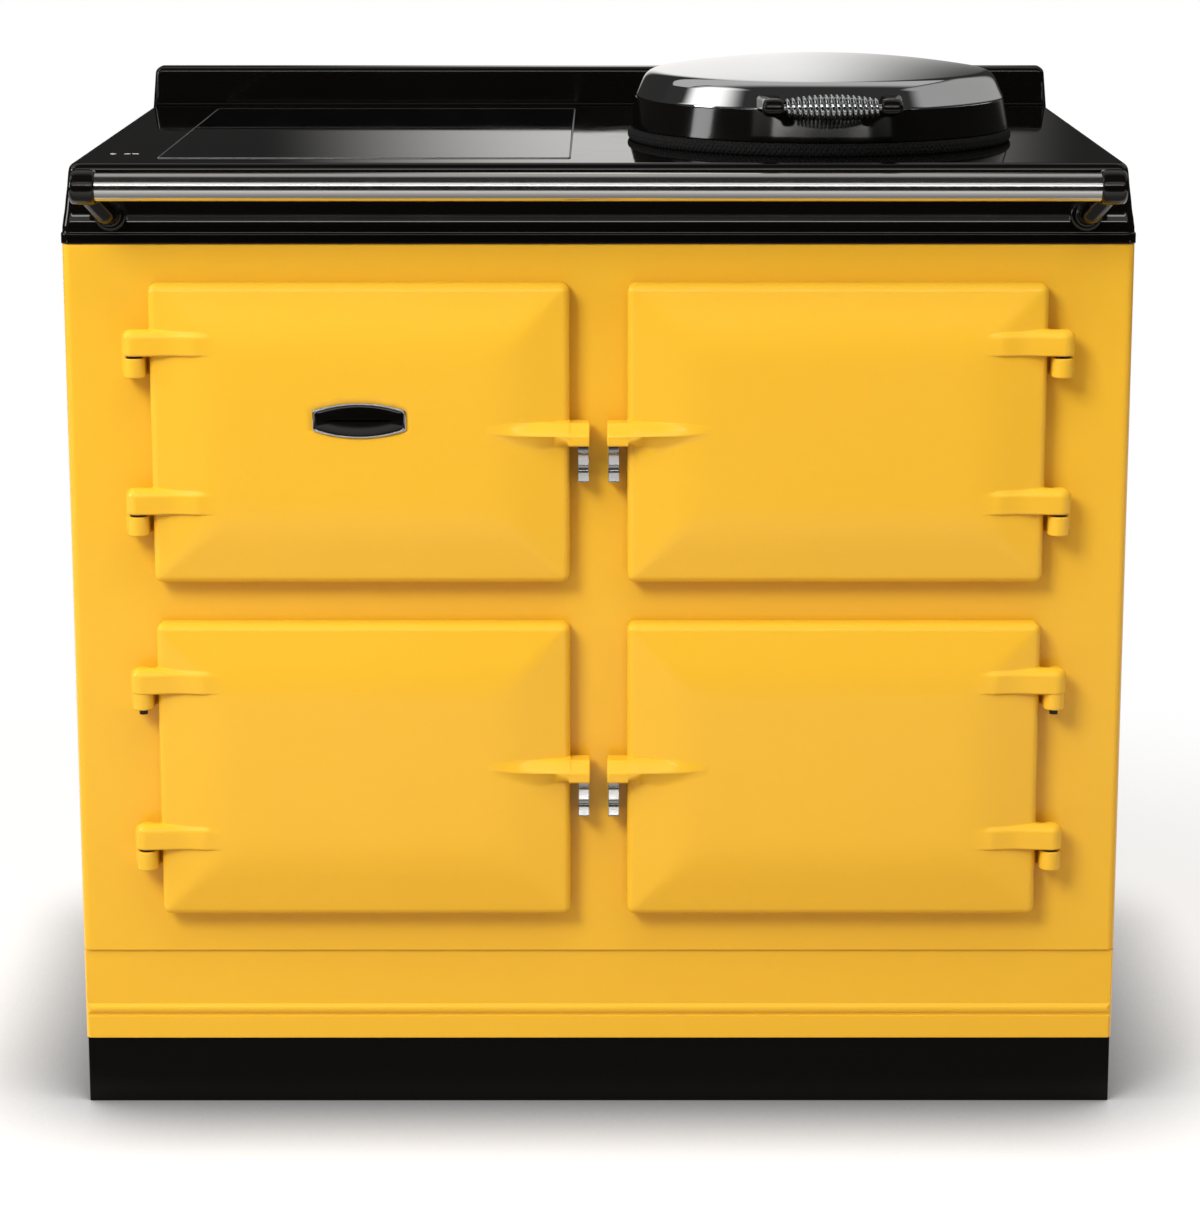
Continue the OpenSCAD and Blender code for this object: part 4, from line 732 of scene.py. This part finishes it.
# Lid ------------------------------------------------------------------------------------------
# An insulated lid over the hotplate: a spun, polished and chromed dome with a bright bevel, on a
# black enamelled band, hinged at the back and lifted by the coil handle in front.
def revolve(profile, steps=224):
    """A ring body about the hotplate's axis from (radius, height); a radius of 0 closes on the axis."""
    points, faces, rows = [], [], []
    for radius, z in profile:
        if radius == 0:
            rows.append([len(points)] * steps)
            points.append((hotplate_x, hotplate_y, z))
        else:
            rows.append(list(range(len(points), len(points) + steps)))
            points += circle_ring(hotplate_x, hotplate_y, radius, z, steps)
    for low, high in zip(rows, rows[1:] + rows[:1]):
        for k in range(steps):
            m = (k + 1) % steps
            corners = tuple(dict.fromkeys((low[k], low[m], high[m], high[k])))
            if len(corners) > 2:
                faces.append(corners)
    return points, faces


def dome_height(radius):
    """Height of the dome: part of a ball that rises 15 mm over a radius of 168 mm."""
    ball = (168 ** 2 + 15 ** 2) / 30
    return 986.3 - ball + math.sqrt(ball ** 2 - radius ** 2)


polished_chrome = metal("polished_chrome", "#E2E4E6", (0.035, 0.075, 50))
band = [(173, 917.6), (183.2, 917.4), (184, 918.2), (183.9, 920), (183.3, 923.5), (179.3, 944.8), (179, 946.0),
        (178.4, 946.3), (172.2, 946.3), (171.4, 945)]
settle("lid_band_casting", revolve(band), black_enamel, "lid", "black_enamel", "lid_band")
# The bevel turns into the dome over a shoulder of 8 mm
low, middle, high = (171.6, 963.8), (167.6, dome_height(168) + 0.1), (159.0, dome_height(159))
shoulder = [tuple((1 - t) ** 2 * a + 2 * t * (1 - t) * b + t * t * c for a, b, c in zip(low, middle, high))
            for t in (i / 12 for i in range(13))]
crown = [(157.5 * (1 - i / 25), dome_height(157.5 * (1 - i / 25))) for i in range(25)]
dome = ([(176, 946.3), (178.7, 946.4), (179, 947.2), (178.8, 948.3), (178.3, 949.4), (171.9, 963.2)] + shoulder
        + crown + [(0, dome_height(0)), (0, 983.3)] + [(r * 0.985, z - 3) for r, z in reversed(crown)]
        + [(165.4, 966), (175.6, 947.6)])
settle("lid_dome_spinning", revolve(dome), polished_chrome, "lid", "chrome", "lid_dome")


# Towel rail -----------------------------------------------------------------------------------
# A ground and polished stainless steel tube across the front, held in two black enamelled cast
# brackets that are bolted to the hob casting from inside.
def frozen(made):
    """The mesh that an object's modifiers give; the object itself goes."""
    mesh = bpy.data.meshes.new_from_object(made.evaluated_get(bpy.context.evaluated_depsgraph_get()))
    bpy.data.objects.remove(made)
    return mesh


def fused(name, shapes, voxel_mm, paint, body, slot, *replaced):
    """Closed shapes run together as in a casting: remeshed, then smoothed so that joints fillet."""
    raw = bpy.data.objects.new(name + "_raw", meshed(name + "_raw", gather(shapes)))
    scene.collection.objects.link(raw)
    skin = raw.modifiers.new("skin", "REMESH")
    skin.mode = "VOXEL"
    skin.voxel_size = voxel_mm / 1000
    ease = raw.modifiers.new("ease", "SMOOTH")
    ease.factor = 0.5
    ease.iterations = 5
    mesh = frozen(raw)
    for face in mesh.polygons:
        face.use_smooth = True
    mesh.materials.clear()
    mesh.materials.append(paint)
    keep(name, mesh, body, replaced)


def rod(start, end, profile, steps=48):
    """A turned shape along the line from start to end; profile is (place from 0 to 1, radius)."""
    a, b = np.array(start, float), np.array(end, float)
    along = (b - a) / np.linalg.norm(b - a)
    side = np.cross(along, (0, 0, 1) if abs(along[2]) < 0.9 else (1, 0, 0))
    side /= np.linalg.norm(side)
    other = np.cross(along, side)
    return loft([[tuple(a + (b - a) * place + side * across + other * up)
                  for across, up in arc(0, 0, radius, 0, 360, steps)[:-1]] for place, radius in profile])


polished_stainless = metal("polished_stainless_tube", "#D5D4D1", (0.13, 0.20, 14, 3, (1, 12, 12)), Anisotropic=0.3)
dress(polished_stainless, 0, "towel_rail")
rail_y, rail_z = front_y - 52, 889
rail_brackets = []
for side in (-1, 1):
    for start, end, profile in (
            # The cup on the rail's end, the neck down from it, the elbow and the foot on the casting
            ((451.5, rail_y, rail_z), (475.5, rail_y, rail_z),
             [(0, 14.0), (0.03, 15.0), (0.09, 15.7), (0.3, 16.1), (0.7, 16.1), (0.86, 15.6), (0.95, 13.8),
              (1, 10.6)]),
            ((464, rail_y + 3, rail_z - 3), (447.5, front_y - 24, 861), [(0, 9), (0.3, 9.2), (0.7, 9.6), (1, 9.6)]),
            ((448.5, front_y - 30, 862), (446.5, front_y + 8, 858),
             [(0, 5), (0.1, 8.4), (0.25, 9.7), (0.6, 9.7), (0.82, 11), (1, 15)]),
            ((446.5, front_y - 4.6, 858), (446.5, front_y + 8, 858),
             [(0, 13.4), (0.1, 14.8), (0.25, 15.2), (1, 15.2)])):
        rail_brackets.append(rod((side * start[0], *start[1:]), (side * end[0], *end[1:]), profile))
fused("rail_bracket_castings", rail_brackets, 0.9, black_enamel, "range", "black_enamel", "rail_brackets")


# Hotplate and its seal ------------------------------------------------------------------------
# A thick iron disc, turned flat, in a bright rim ring; round it lies a black glass fibre rope on
# which the lid's band rests. An insulated cup below holds the disc and its element.
def turned(paint, pitch_mm, depth_mm):
    """Adds the rings that a turning tool leaves about the hotplate's axis, pitch_mm apart."""
    tree = paint.node_tree
    centred = vector(tree, "SUBTRACT", place_on(tree), (hotplate_x / 1000, hotplate_y / 1000, 0))[0]
    distance = vector(tree, "LENGTH", vector(tree, "MULTIPLY", centred, (1, 1, 0))[0])["Value"]
    wave = calc(tree, "SINE", calc(tree, "MULTIPLY", distance, 2000 * math.pi / pitch_mm))
    relief(paint, wave, depth_mm)
    return paint


# Heat and use have browned the iron in soft patches
machined_iron = metal("machined_iron", "#6A6968", (0.28, 0.42, 25), tint=("#5C5B5A", "#787572", 70))
dress(turned(machined_iron, 1.3, 0.03), 1.5, "hotplate")
dress(turned(metal("brushed_bright_steel", "#D2D3D4", 0.22), 0.9, 0.01), 0.5, "hotplate_rim")
dress(turned(metal("spun_aluminium", "#C9CBCC", 0.3), 2.2, 0.04), 0.5, "lid_liner")

# Strands of 5 mm wind both ways round the rope and cross, as in a plait
rope = finish("black_fibre_rope", "#0B0A0A", 0.85)
tree = rope.node_tree
uv = axes(tree, "UV")
strands = []
for lean in (6.0, -6.0):
    along = calc(tree, "MULTIPLY_ADD", uv["X"], 228.0, calc(tree, "MULTIPLY", uv["Y"], lean))
    strands.append(calc(tree, "SINE", calc(tree, "MULTIPLY", along, 2 * math.pi)))
relief(rope, calc(tree, "MAXIMUM", *strands), 0.7)
relief(rope, grain(tree, 1.2), 0.15)


def squared(turn):
    """Cosine and sine of a turn, swelled so that a circle becomes a little square."""
    return [math.copysign(abs(f(turn)) ** 0.8, f(turn)) for f in (math.cos, math.sin)]


around, beside = 288, 20
section = [(182 + 5 * x, 911 + 6 * z) for x, z in (squared(2 * math.pi * k / beside) for k in range(beside))]
rings = []
for i in range(around):
    t = 2 * math.pi * i / around
    rings.append([(hotplate_x + r * math.cos(t), hotplate_y + r * math.sin(t), z) for r, z in section])
laid = [[((i + di) / around, (k + dk) / beside) for di, dk in ((0, 0), (0, 1), (1, 1), (1, 0))]
        for i in range(around) for k in range(beside)]
rope_mesh = meshed("lid_rope_seal", loft(rings, closed=True), laid)
rope_mesh.materials.append(rope)
keep("lid_rope_seal", rope_mesh, "range", ["hotplate_seal"])

mineral_wool = finish("mineral_wool", "#CFC6A8", 0.95, ("#C2B894", "#DDD5BC", 9), [(0.8, 3)])
dress(mineral_wool, 0, "hotplate_cup", "core_insulation", "lid_insulation", "upper_right_door_insulation",
      "lower_left_door_insulation", "lower_right_door_insulation")


# Under the glass ------------------------------------------------------------------------------
# A zinc plated tray carries two flat coils of stranded copper, which lie close under the glass.
# The zinc froze in flat crystals 8 to 15 mm across, each a little brighter or duller.
zinc_plate = metal("galvanised_steel", "#A9ADB0", 0.38)
tree = zinc_plate.node_tree
crystals = add(tree, "ShaderNodeTexVoronoi", {"Vector": place_on(tree), "Scale": 85.0}, feature="F1")
crystal = add(tree, "ShaderNodeSeparateXYZ", {0: crystals.outputs["Color"]}).outputs["X"]
vary(zinc_plate, "Base Color", crystal, "#9DA1A5", "#B9BDBF")
vary(zinc_plate, "Roughness", crystal, 0.30, 0.46)
dress(zinc_plate, 0.6, "induction_tray", "base_plate")
dress(metal("wound_copper", "#B8713F", 0.35, bumps=[(0.2, 2)]), 0.8, "induction_coils")


# Touch lamps ----------------------------------------------------------------------------------
# Printed lenses beside the glass, set flush in the deck: one round dot and two dashes.
dress(finish("amber_lens", "#C9C6BE", 0.2, ("#BDB9AF", "#D8D5CD", 4), IOR=1.49), 0.3, "indicator_lamps")


# Lid handle and hinge -------------------------------------------------------------------------
# A steel rod carries one unbroken chromed wire coil that stays cool, between two black enamelled
# brackets riveted to the band. At the back a cast arm turns on a steel pin between two ears.
handle_y, handle_z = hotplate_y - 184 - 30, 953


def nodes_tree(name, given):
    """A Geometry Nodes tree with inputs given as (label, kind, value), and their sockets in it."""
    tree = bpy.data.node_groups.new(name, "GeometryNodeTree")
    tree.interface.new_socket("Geometry", in_out="OUTPUT", socket_type="NodeSocketGeometry")
    for label, kind, value in given:
        tree.interface.new_socket(label, in_out="INPUT", socket_type="NodeSocket" + kind).default_value = value
    return tree, add(tree, "NodeGroupInput").outputs


def grow(name, tree, shape, paint, body, slot, *replaced):
    """Ends a Geometry Nodes tree at a shape in one finish, and keeps its result as a plain piece."""
    real = add(tree, "GeometryNodeRealizeInstances", {"Geometry": shape.outputs[0]})
    dressed = add(tree, "GeometryNodeSetMaterial", {"Geometry": real.outputs[0], "Material": paint})
    add(tree, "NodeGroupOutput", {0: dressed.outputs[0]})
    seed = bpy.data.objects.new(name + "_seed", bpy.data.meshes.new(name + "_seed"))
    scene.collection.objects.link(seed)
    seed.modifiers.new("grow", "NODES").node_group = tree
    keep(name, welded(frozen(seed), 1e-6), body, replaced)


# The wire winds round a line along X, fuller in the middle; a straight lead stands out at each end
turns, lead = 17, 0.01
tree, given = nodes_tree("wound_coil", (
    ("Wound Length", "Float", 0.0862), ("Lead", "Float", 0.0014), ("Turns", "Float", float(turns)),
    ("Middle Radius", "Float", 0.0104), ("End Radius", "Float", 0.0062), ("Wire Radius", "Float", 0.00175),
    ("Place", "Vector", (hotplate_x / 1000, handle_y / 1000, handle_z / 1000))))
line = add(tree, "GeometryNodeCurvePrimitiveLine", {"End": (1, 0, 0)})
many = add(tree, "GeometryNodeResampleCurve", {"Curve": line.outputs[0], "Count": turns * 26})
along = add(tree, "GeometryNodeSplineParameter").outputs["Factor"]
u = add(tree, "ShaderNodeMapRange", {"Value": along, "From Min": lead, "From Max": 1 - lead}).outputs["Result"]
before = calc(tree, "MINIMUM", calc(tree, "SUBTRACT", along, lead), 0.0)
after = calc(tree, "MAXIMUM", calc(tree, "SUBTRACT", along, 1 - lead), 0.0)
leads = calc(tree, "MULTIPLY", calc(tree, "MULTIPLY", calc(tree, "ADD", before, after), 1 / lead), given["Lead"])
x = calc(tree, "MULTIPLY_ADD", calc(tree, "SUBTRACT", u, 0.5), given["Wound Length"], leads)
swell = calc(tree, "POWER", calc(tree, "SINE", calc(tree, "MULTIPLY", u, math.pi - 1e-5)), 0.8)
fuller = calc(tree, "SUBTRACT", given["Middle Radius"], given["End Radius"])
radius = calc(tree, "MULTIPLY_ADD", swell, fuller, given["End Radius"])
angle = calc(tree, "MULTIPLY", calc(tree, "MULTIPLY", u, given["Turns"]), 2 * math.pi)
y, z = (calc(tree, "MULTIPLY", radius, calc(tree, kind, angle)) for kind in ("COSINE", "SINE"))
point = add(tree, "ShaderNodeCombineXYZ", {0: x, 1: y, 2: z}).outputs[0]
wound = add(tree, "GeometryNodeSetPosition", {"Geometry": many.outputs[0],
                                              "Position": vector(tree, "ADD", point, given["Place"])[0]})
wire = add(tree, "GeometryNodeCurvePrimitiveCircle", {"Resolution": 12, "Radius": given["Wire Radius"]})
solid = add(tree, "GeometryNodeCurveToMesh", {"Curve": wound.outputs[0], "Profile Curve": wire.outputs[0],
                                              "Fill Caps": True})
smooth = add(tree, "GeometryNodeSetShadeSmooth", {"Geometry": solid.outputs[0]})
grow("handle_coil_wire", tree, smooth, polished_chrome, "lid", "chrome", "lid_handle_coil")

turned_steel = metal("turned_steel", "#B8B9BB", (0.22, 0.36, 6, 3, (1, 1, 8)))
dress(turned_steel, 0, "lid_handle_rod")
# Steel pins and washers, darkened so that the slot between each hinge arm and its boss shows painted shade
pin_steel_darkened_as_painted_shade = metal("pin_steel_darkened_as_painted_shade", "#3B3A3A", (0.24, 0.38, 5))
dress(pin_steel_darkened_as_painted_shade, 0, "hinge_pins")
cup_profile = [(0, 6.0), (0.04, 7.2), (0.12, 8.0), (0.3, 8.5), (0.62, 8.5), (0.82, 7.9), (0.94, 6.4), (1, 3.6)]
plan = [(49, handle_y + 1), (60, handle_y + 1), (61, handle_y + 14), (63.5, handle_y + 30),
        (68, hotplate_y - 163), (46, hotplate_y - 172), (48.5, handle_y + 30), (49, handle_y + 14)]
levels = [(handle_z - 10 + z, cut) for z, cut in ((2, 2.8), (3, 1.1), (5.5, 0), (14.5, 0), (17, 1.1), (18, 2.8))]
handle_brackets = []
for side in (-1, 1):
    ends = [(hotplate_x + side * x, handle_y, handle_z) for x in (44.9, 64.5)]
    handle_brackets += [rod(*ends, cup_profile),
                        stacked([(hotplate_x + side * x, y) for x, y in plan][::side], levels)]
fused("lid_handle_castings", handle_brackets, 0.7, black_enamel, "lid", "black_enamel", "lid_handle_brackets")
dress(black_enamel, 1.2, "lid_hinge_arm", "lid_hinge_bracket")


# Badge ----------------------------------------------------------------------------------------
# A small barrel shaped plate let into the upper left door: a chromed rim round a black enamelled
# face that swells a little. Its face is left bare.
badge_x, badge_z = -door_foot - door_width / 2, 517 + 280 / 2 + badge_up


def badge_ring(w, cut):
    """The badge's outline at a depth w in front of the plate, moved in by cut."""
    half, tall = badge_half - cut, badge_tall - cut
    bow = min(badge_bow, 0.56 * tall)
    ball = (half * half + bow * bow) / (2 * bow)
    spread = [-half + 2 * half * i / 40 for i in range(41)]
    rise = [(x, tall - ball + math.sqrt(ball * ball - x * x)) for x in spread]
    corner = 1.2
    sides = [(half, -rise[-1][1] + corner), (half, rise[-1][1] - corner)]
    outline = [(x, -z) for x, z in rise[1:-1]] + sides + rise[-2:0:-1] + [(-x, z) for x, z in reversed(sides)]
    return [(badge_x + x, front_y - w, badge_z + z) for x, z in outline]


rim = [(badge_seat, 0), (30.0, 0), (30.5, 0.15), (30.85, 0.5), (31.0, 1.0), (30.9, 1.5), (30.5, 1.9), (29.9, 2.0),
       (badge_seat, 2.0)]
settle("badge_rim", loft([badge_ring(w, cut) for w, cut in rim], closed=True), polished_chrome,
       "upper_left_door_assembly", "chrome", "badge_plate")
face = [(badge_seat, 2.05), (29.3, 2.05), (29.8, 2.6), (30.2, 4), (30.65, 7), (30.95, 11), (31.05, 15.5)]
settle("badge_face", loft([badge_ring(w, cut) for w, cut in face]), black_enamel, "upper_left_door_assembly",
       "black_enamel")


# Catches --------------------------------------------------------------------------------------
# Chromed catches screwed to the front plate under the lugs. Two noses slope forward under a plain
# head, and the door's latch rides over them.
def nose(low, tall):
    """Section of one nose, tall from its bottom at height low: it leans back and turns under."""
    crest = 19.95 - math.tan(math.radians(22)) * (tall - 2.2)
    return [(16.2, low), (18.6, low + 0.1), (19.5, low + 0.45), (19.95, low + 1.2), (19.85, low + 1.9),
            (crest + 0.1, low + tall - 1.0), (crest - 0.5, low + tall - 0.3), (crest - 1.3, low + tall)]


satin_chrome = metal("satin_chrome", "#B9B9B7", (0.18, 0.24, 8))
catch_tall, lug_gap = 35.6, 0.5
head = [(14.6, 27.2), (14.6, 27.8), (15.8, 28.1), (16.4, 28.8), (16.4, 34.6), (15.8, 35.4), (14.8, catch_tall)]
catch_section = ([(0, 0), (14, 0)] + nose(0, 9.8) + [(14.2, 10.4), (13.8, 11.4), (13.8, 14.2), (14.2, 15.1)]
                 + nose(15.4, 11.2) + head + [(0, catch_tall)])
catch = stacked(catch_section[::-1], slab_levels(9.05, 18.95, 0.5, 0.5, 3), 0)
catches = []
for foot, height in ((195, 283), (517, 280)):
    low = foot + height / 2 + lug_up - 10.5 - lug_gap - catch_tall
    catches += [moved_to(catch, lambda x, w, z: (side * x, front_y - w, low + z)) for side in (-1, 1)]
settle("door_catch_castings", gather(catches), satin_chrome, "range", "chrome", "door_catches")


# Doors, inside --------------------------------------------------------------------------------
# Pressed stainless pans close the backs of the doors over their insulation, with a rope seal
# clipped round each, which meets the front plate. The pans are brushed along their length: fine
# lines about 0.5 mm apart, drawn a little coarser so that they show.
brushed = (1.5, 4, (60, 1, 1))
brushed_pan = metal("brushed_stainless_sheet", "#BFC0C1", (0.24, 0.40, *brushed), bumps=[(0.01, *brushed)])
dress(brushed_pan, 0.8, *(name + "_liner" for name in door_places))
seal_rope = finish("fibre_rope_seal", "#23211F", 0.9, ("#1A1817", "#34312D", 5), [(0.6, 3.5, 2)])
dress(seal_rope, 2.0, "upper_right_door_seal", "lower_left_door_seal", "lower_right_door_seal")


# Ovens ----------------------------------------------------------------------------------------
# Steel boxes in oven enamel, bolted behind the front plate, each with a bright wire shelf on
# ledges and a sheathed element under its roof. Pale specks of 1 to 2 mm are fired into the
# enamel's blue black ground.
oven_enamel = finish("speckled_oven_enamel", "#1B1C20", 0.2, bumps=[(0.02, 9, 1)], IOR=1.5)
tree = oven_enamel.node_tree
dots = add(tree, "ShaderNodeTexVoronoi", {"Vector": place_on(tree), "Scale": 420.0}, feature="F1")
speck = add(tree, "ShaderNodeMapRange", {"Value": dots.outputs["Distance"], "From Min": 0.12, "From Max": 0.26,
                                         "To Min": 1.0, "To Max": 0.0}).outputs["Result"]
vary(oven_enamel, "Base Color", speck, "#17181C", "#8C8F96")
dress(oven_enamel, 0.9, "upper_right_oven", "lower_right_oven", "lower_left_oven")
dress(metal("chromed_wire", "#D6D8DA", (0.12, 0.24, 20)), 0, "oven_shelves")
element_sheath = finish("heated_element_sheath", "#4B423C", 0.5, ("#3B3735", "#6A5242", 22), Metallic=0.8)
dress(element_sheath, 0, "heating_elements")


# Controls -------------------------------------------------------------------------------------
# Behind the upper left door: a dark fascia in a plated box, four moulded phenolic knobs on rotary
# switches and a ring of printed marks round each knob.
dress(zinc_plate, 0.6, "control_box")
fascia_paint = finish("anodised_fascia", "#2A2C30", (0.36, 0.5, 1.5, 4, (50, 1, 1)), Metallic=0.6)
dress(fascia_paint, 0.4, "control_fascia")
phenolic = finish("moulded_phenolic", "#131212", (0.2, 0.3, 12), bumps=[(0.015, 1.6)], IOR=1.55)
switch_body = finish("moulded_switch_body", "#D9D4C4", 0.45, ("#D3CEBD", "#DFDACB", 10), IOR=1.5)
dress(switch_body, 0.6, "control_switches")
print_white = finish("printed_marks", "#E6E6E2", 0.5, ("#DEDED9", "#EDEDEA", 3))
fascia_y, knob_z = -218.4, 642
knob_xs = [badge_x + (i - 1.5) * 72 for i in range(4)]

# A row of dials, each a ring of short marks turned to face its knob
tree, given = nodes_tree("dial_marks", (
    ("Marks", "Int", 11), ("Radius", "Float", 0.0262), ("Mark Length", "Float", 0.0042),
    ("Mark Width", "Float", 0.0009), ("Dials", "Int", 4), ("Pitch", "Float", 0.072),
    ("First Dial", "Vector", (knob_xs[0] / 1000, (fascia_y - 0.1) / 1000, knob_z / 1000))))
size = add(tree, "ShaderNodeCombineXYZ", {"X": given["Mark Width"], "Y": 0.0003, "Z": given["Mark Length"]})
mark = add(tree, "GeometryNodeMeshCube", {"Size": size.outputs[0]})
out = add(tree, "ShaderNodeCombineXYZ", {"Z": given["Radius"]})
moved = add(tree, "GeometryNodeTransform", {"Geometry": mark.outputs[0], "Translation": out.outputs[0]})
spots = add(tree, "GeometryNodePoints", {"Count": given["Marks"]})
index = add(tree, "GeometryNodeInputIndex").outputs[0]
angle = calc(tree, "MULTIPLY_ADD", index, math.radians(27), math.radians(-135))
turn = add(tree, "ShaderNodeCombineXYZ", {"Y": angle})
ring = add(tree, "GeometryNodeInstanceOnPoints", {"Points": spots.outputs[0], "Instance": moved.outputs[0],
                                                  "Rotation": turn.outputs[0]})
step = add(tree, "ShaderNodeCombineXYZ", {"X": given["Pitch"]})
row = add(tree, "GeometryNodeMeshLine", {"Count": given["Dials"], "Start Location": given["First Dial"],
                                         "Offset": step.outputs[0]})
dials = add(tree, "GeometryNodeInstanceOnPoints", {"Points": row.outputs[0], "Instance": ring.outputs[0]})
grow("dial_marks", tree, dials, print_white, "range", "knob_plastic")

for i, x in enumerate(knob_xs, 1):
    dress(phenolic, 1.4, "knob_%d" % i)
    outline = [(x - 0.9, knob_z + 4), (x + 0.9, knob_z + 4), (x + 0.9, knob_z + 18.6), (x - 0.9, knob_z + 18.6)]
    line = stacked(outline, [(fascia_y - 25.35, 0.25), (fascia_y - 25.2, 0), (fascia_y - 24.6, 0)], 1)
    settle("knob_%d_pointer" % i, line, print_white, "knob_%d_body" % i, "knob_plastic")


# Casing ---------------------------------------------------------------------------------------
# Sides of sheet steel, enamelled in the doors' yellow and folded at their edges; a plated back
# with a terminal box, held by pan head screws; adjustable feet inside the plinth.
yellow_steel = vitreous_enamel("yellow_enamelled_steel", "#EFBB32", "#EBB72E", 0.006, 0.12)
dress(yellow_steel, 1.0, "side_panels")
dress(zinc_plate, 0.6, "back_panel")
dress(powder_coat, 1.2, "terminal_box")
plated_steel = metal("zinc_plated_steel", "#B4B7BA", (0.24, 0.38, 5))
dress(plated_steel, 0.7, "levelling_feet")


def screw_head(x, z, y, radius=4.5, tall=2.5):
    """A pan head with a cross recess, its axis along Y."""
    points, faces = [], []
    stations = [0.12, 0.2, 0.3, 0.42, 0.52, 0.62, 0.78, 0.9, 0.97, 1.0]
    circle = arc(0, 0, radius, 0, 360, 32)[:-1]
    spokes = len(circle)
    for s in stations:
        dome = tall * (0.62 + 0.38 * math.sqrt(max(0, 1 - s ** 2.6)))
        for px, pz in circle:
            arm = min(abs(px), abs(pz)) * s
            recess = clamp((0.75 - arm) / 0.25, 0, 1) * clamp((0.6 - s) / 0.08, 0, 1)
            points.append((x + px * s, y + dome - 1.1 * recess, z + pz * s))
    middle, foot = len(points), len(points) + 1
    points.append((x, y + tall - 1.1, z))
    points += [(x + px, y, z + pz) for px, pz in circle]
    last = middle - spokes
    for k in range(spokes):
        m = (k + 1) % spokes
        faces.append((middle, k, m))
        faces += [(r + k, r + spokes + k, r + spokes + m, r + m) for r in range(0, last, spokes)]
        faces.append((last + k, foot + k, foot + m, last + m))
    faces.append(tuple(foot + k for k in range(spokes)))
    return points, faces


back_y, screw_in, screw_rows = 330.6, 20, (79, 817)
reach = 493.5 - screw_in
screws = [screw_head(-reach + i * 2 * reach / 3, z, back_y) for i in range(4) for z in screw_rows]
settle("casing_screw_heads", gather(screws), plated_steel, "range", "zinc_steel", "casing_screws")
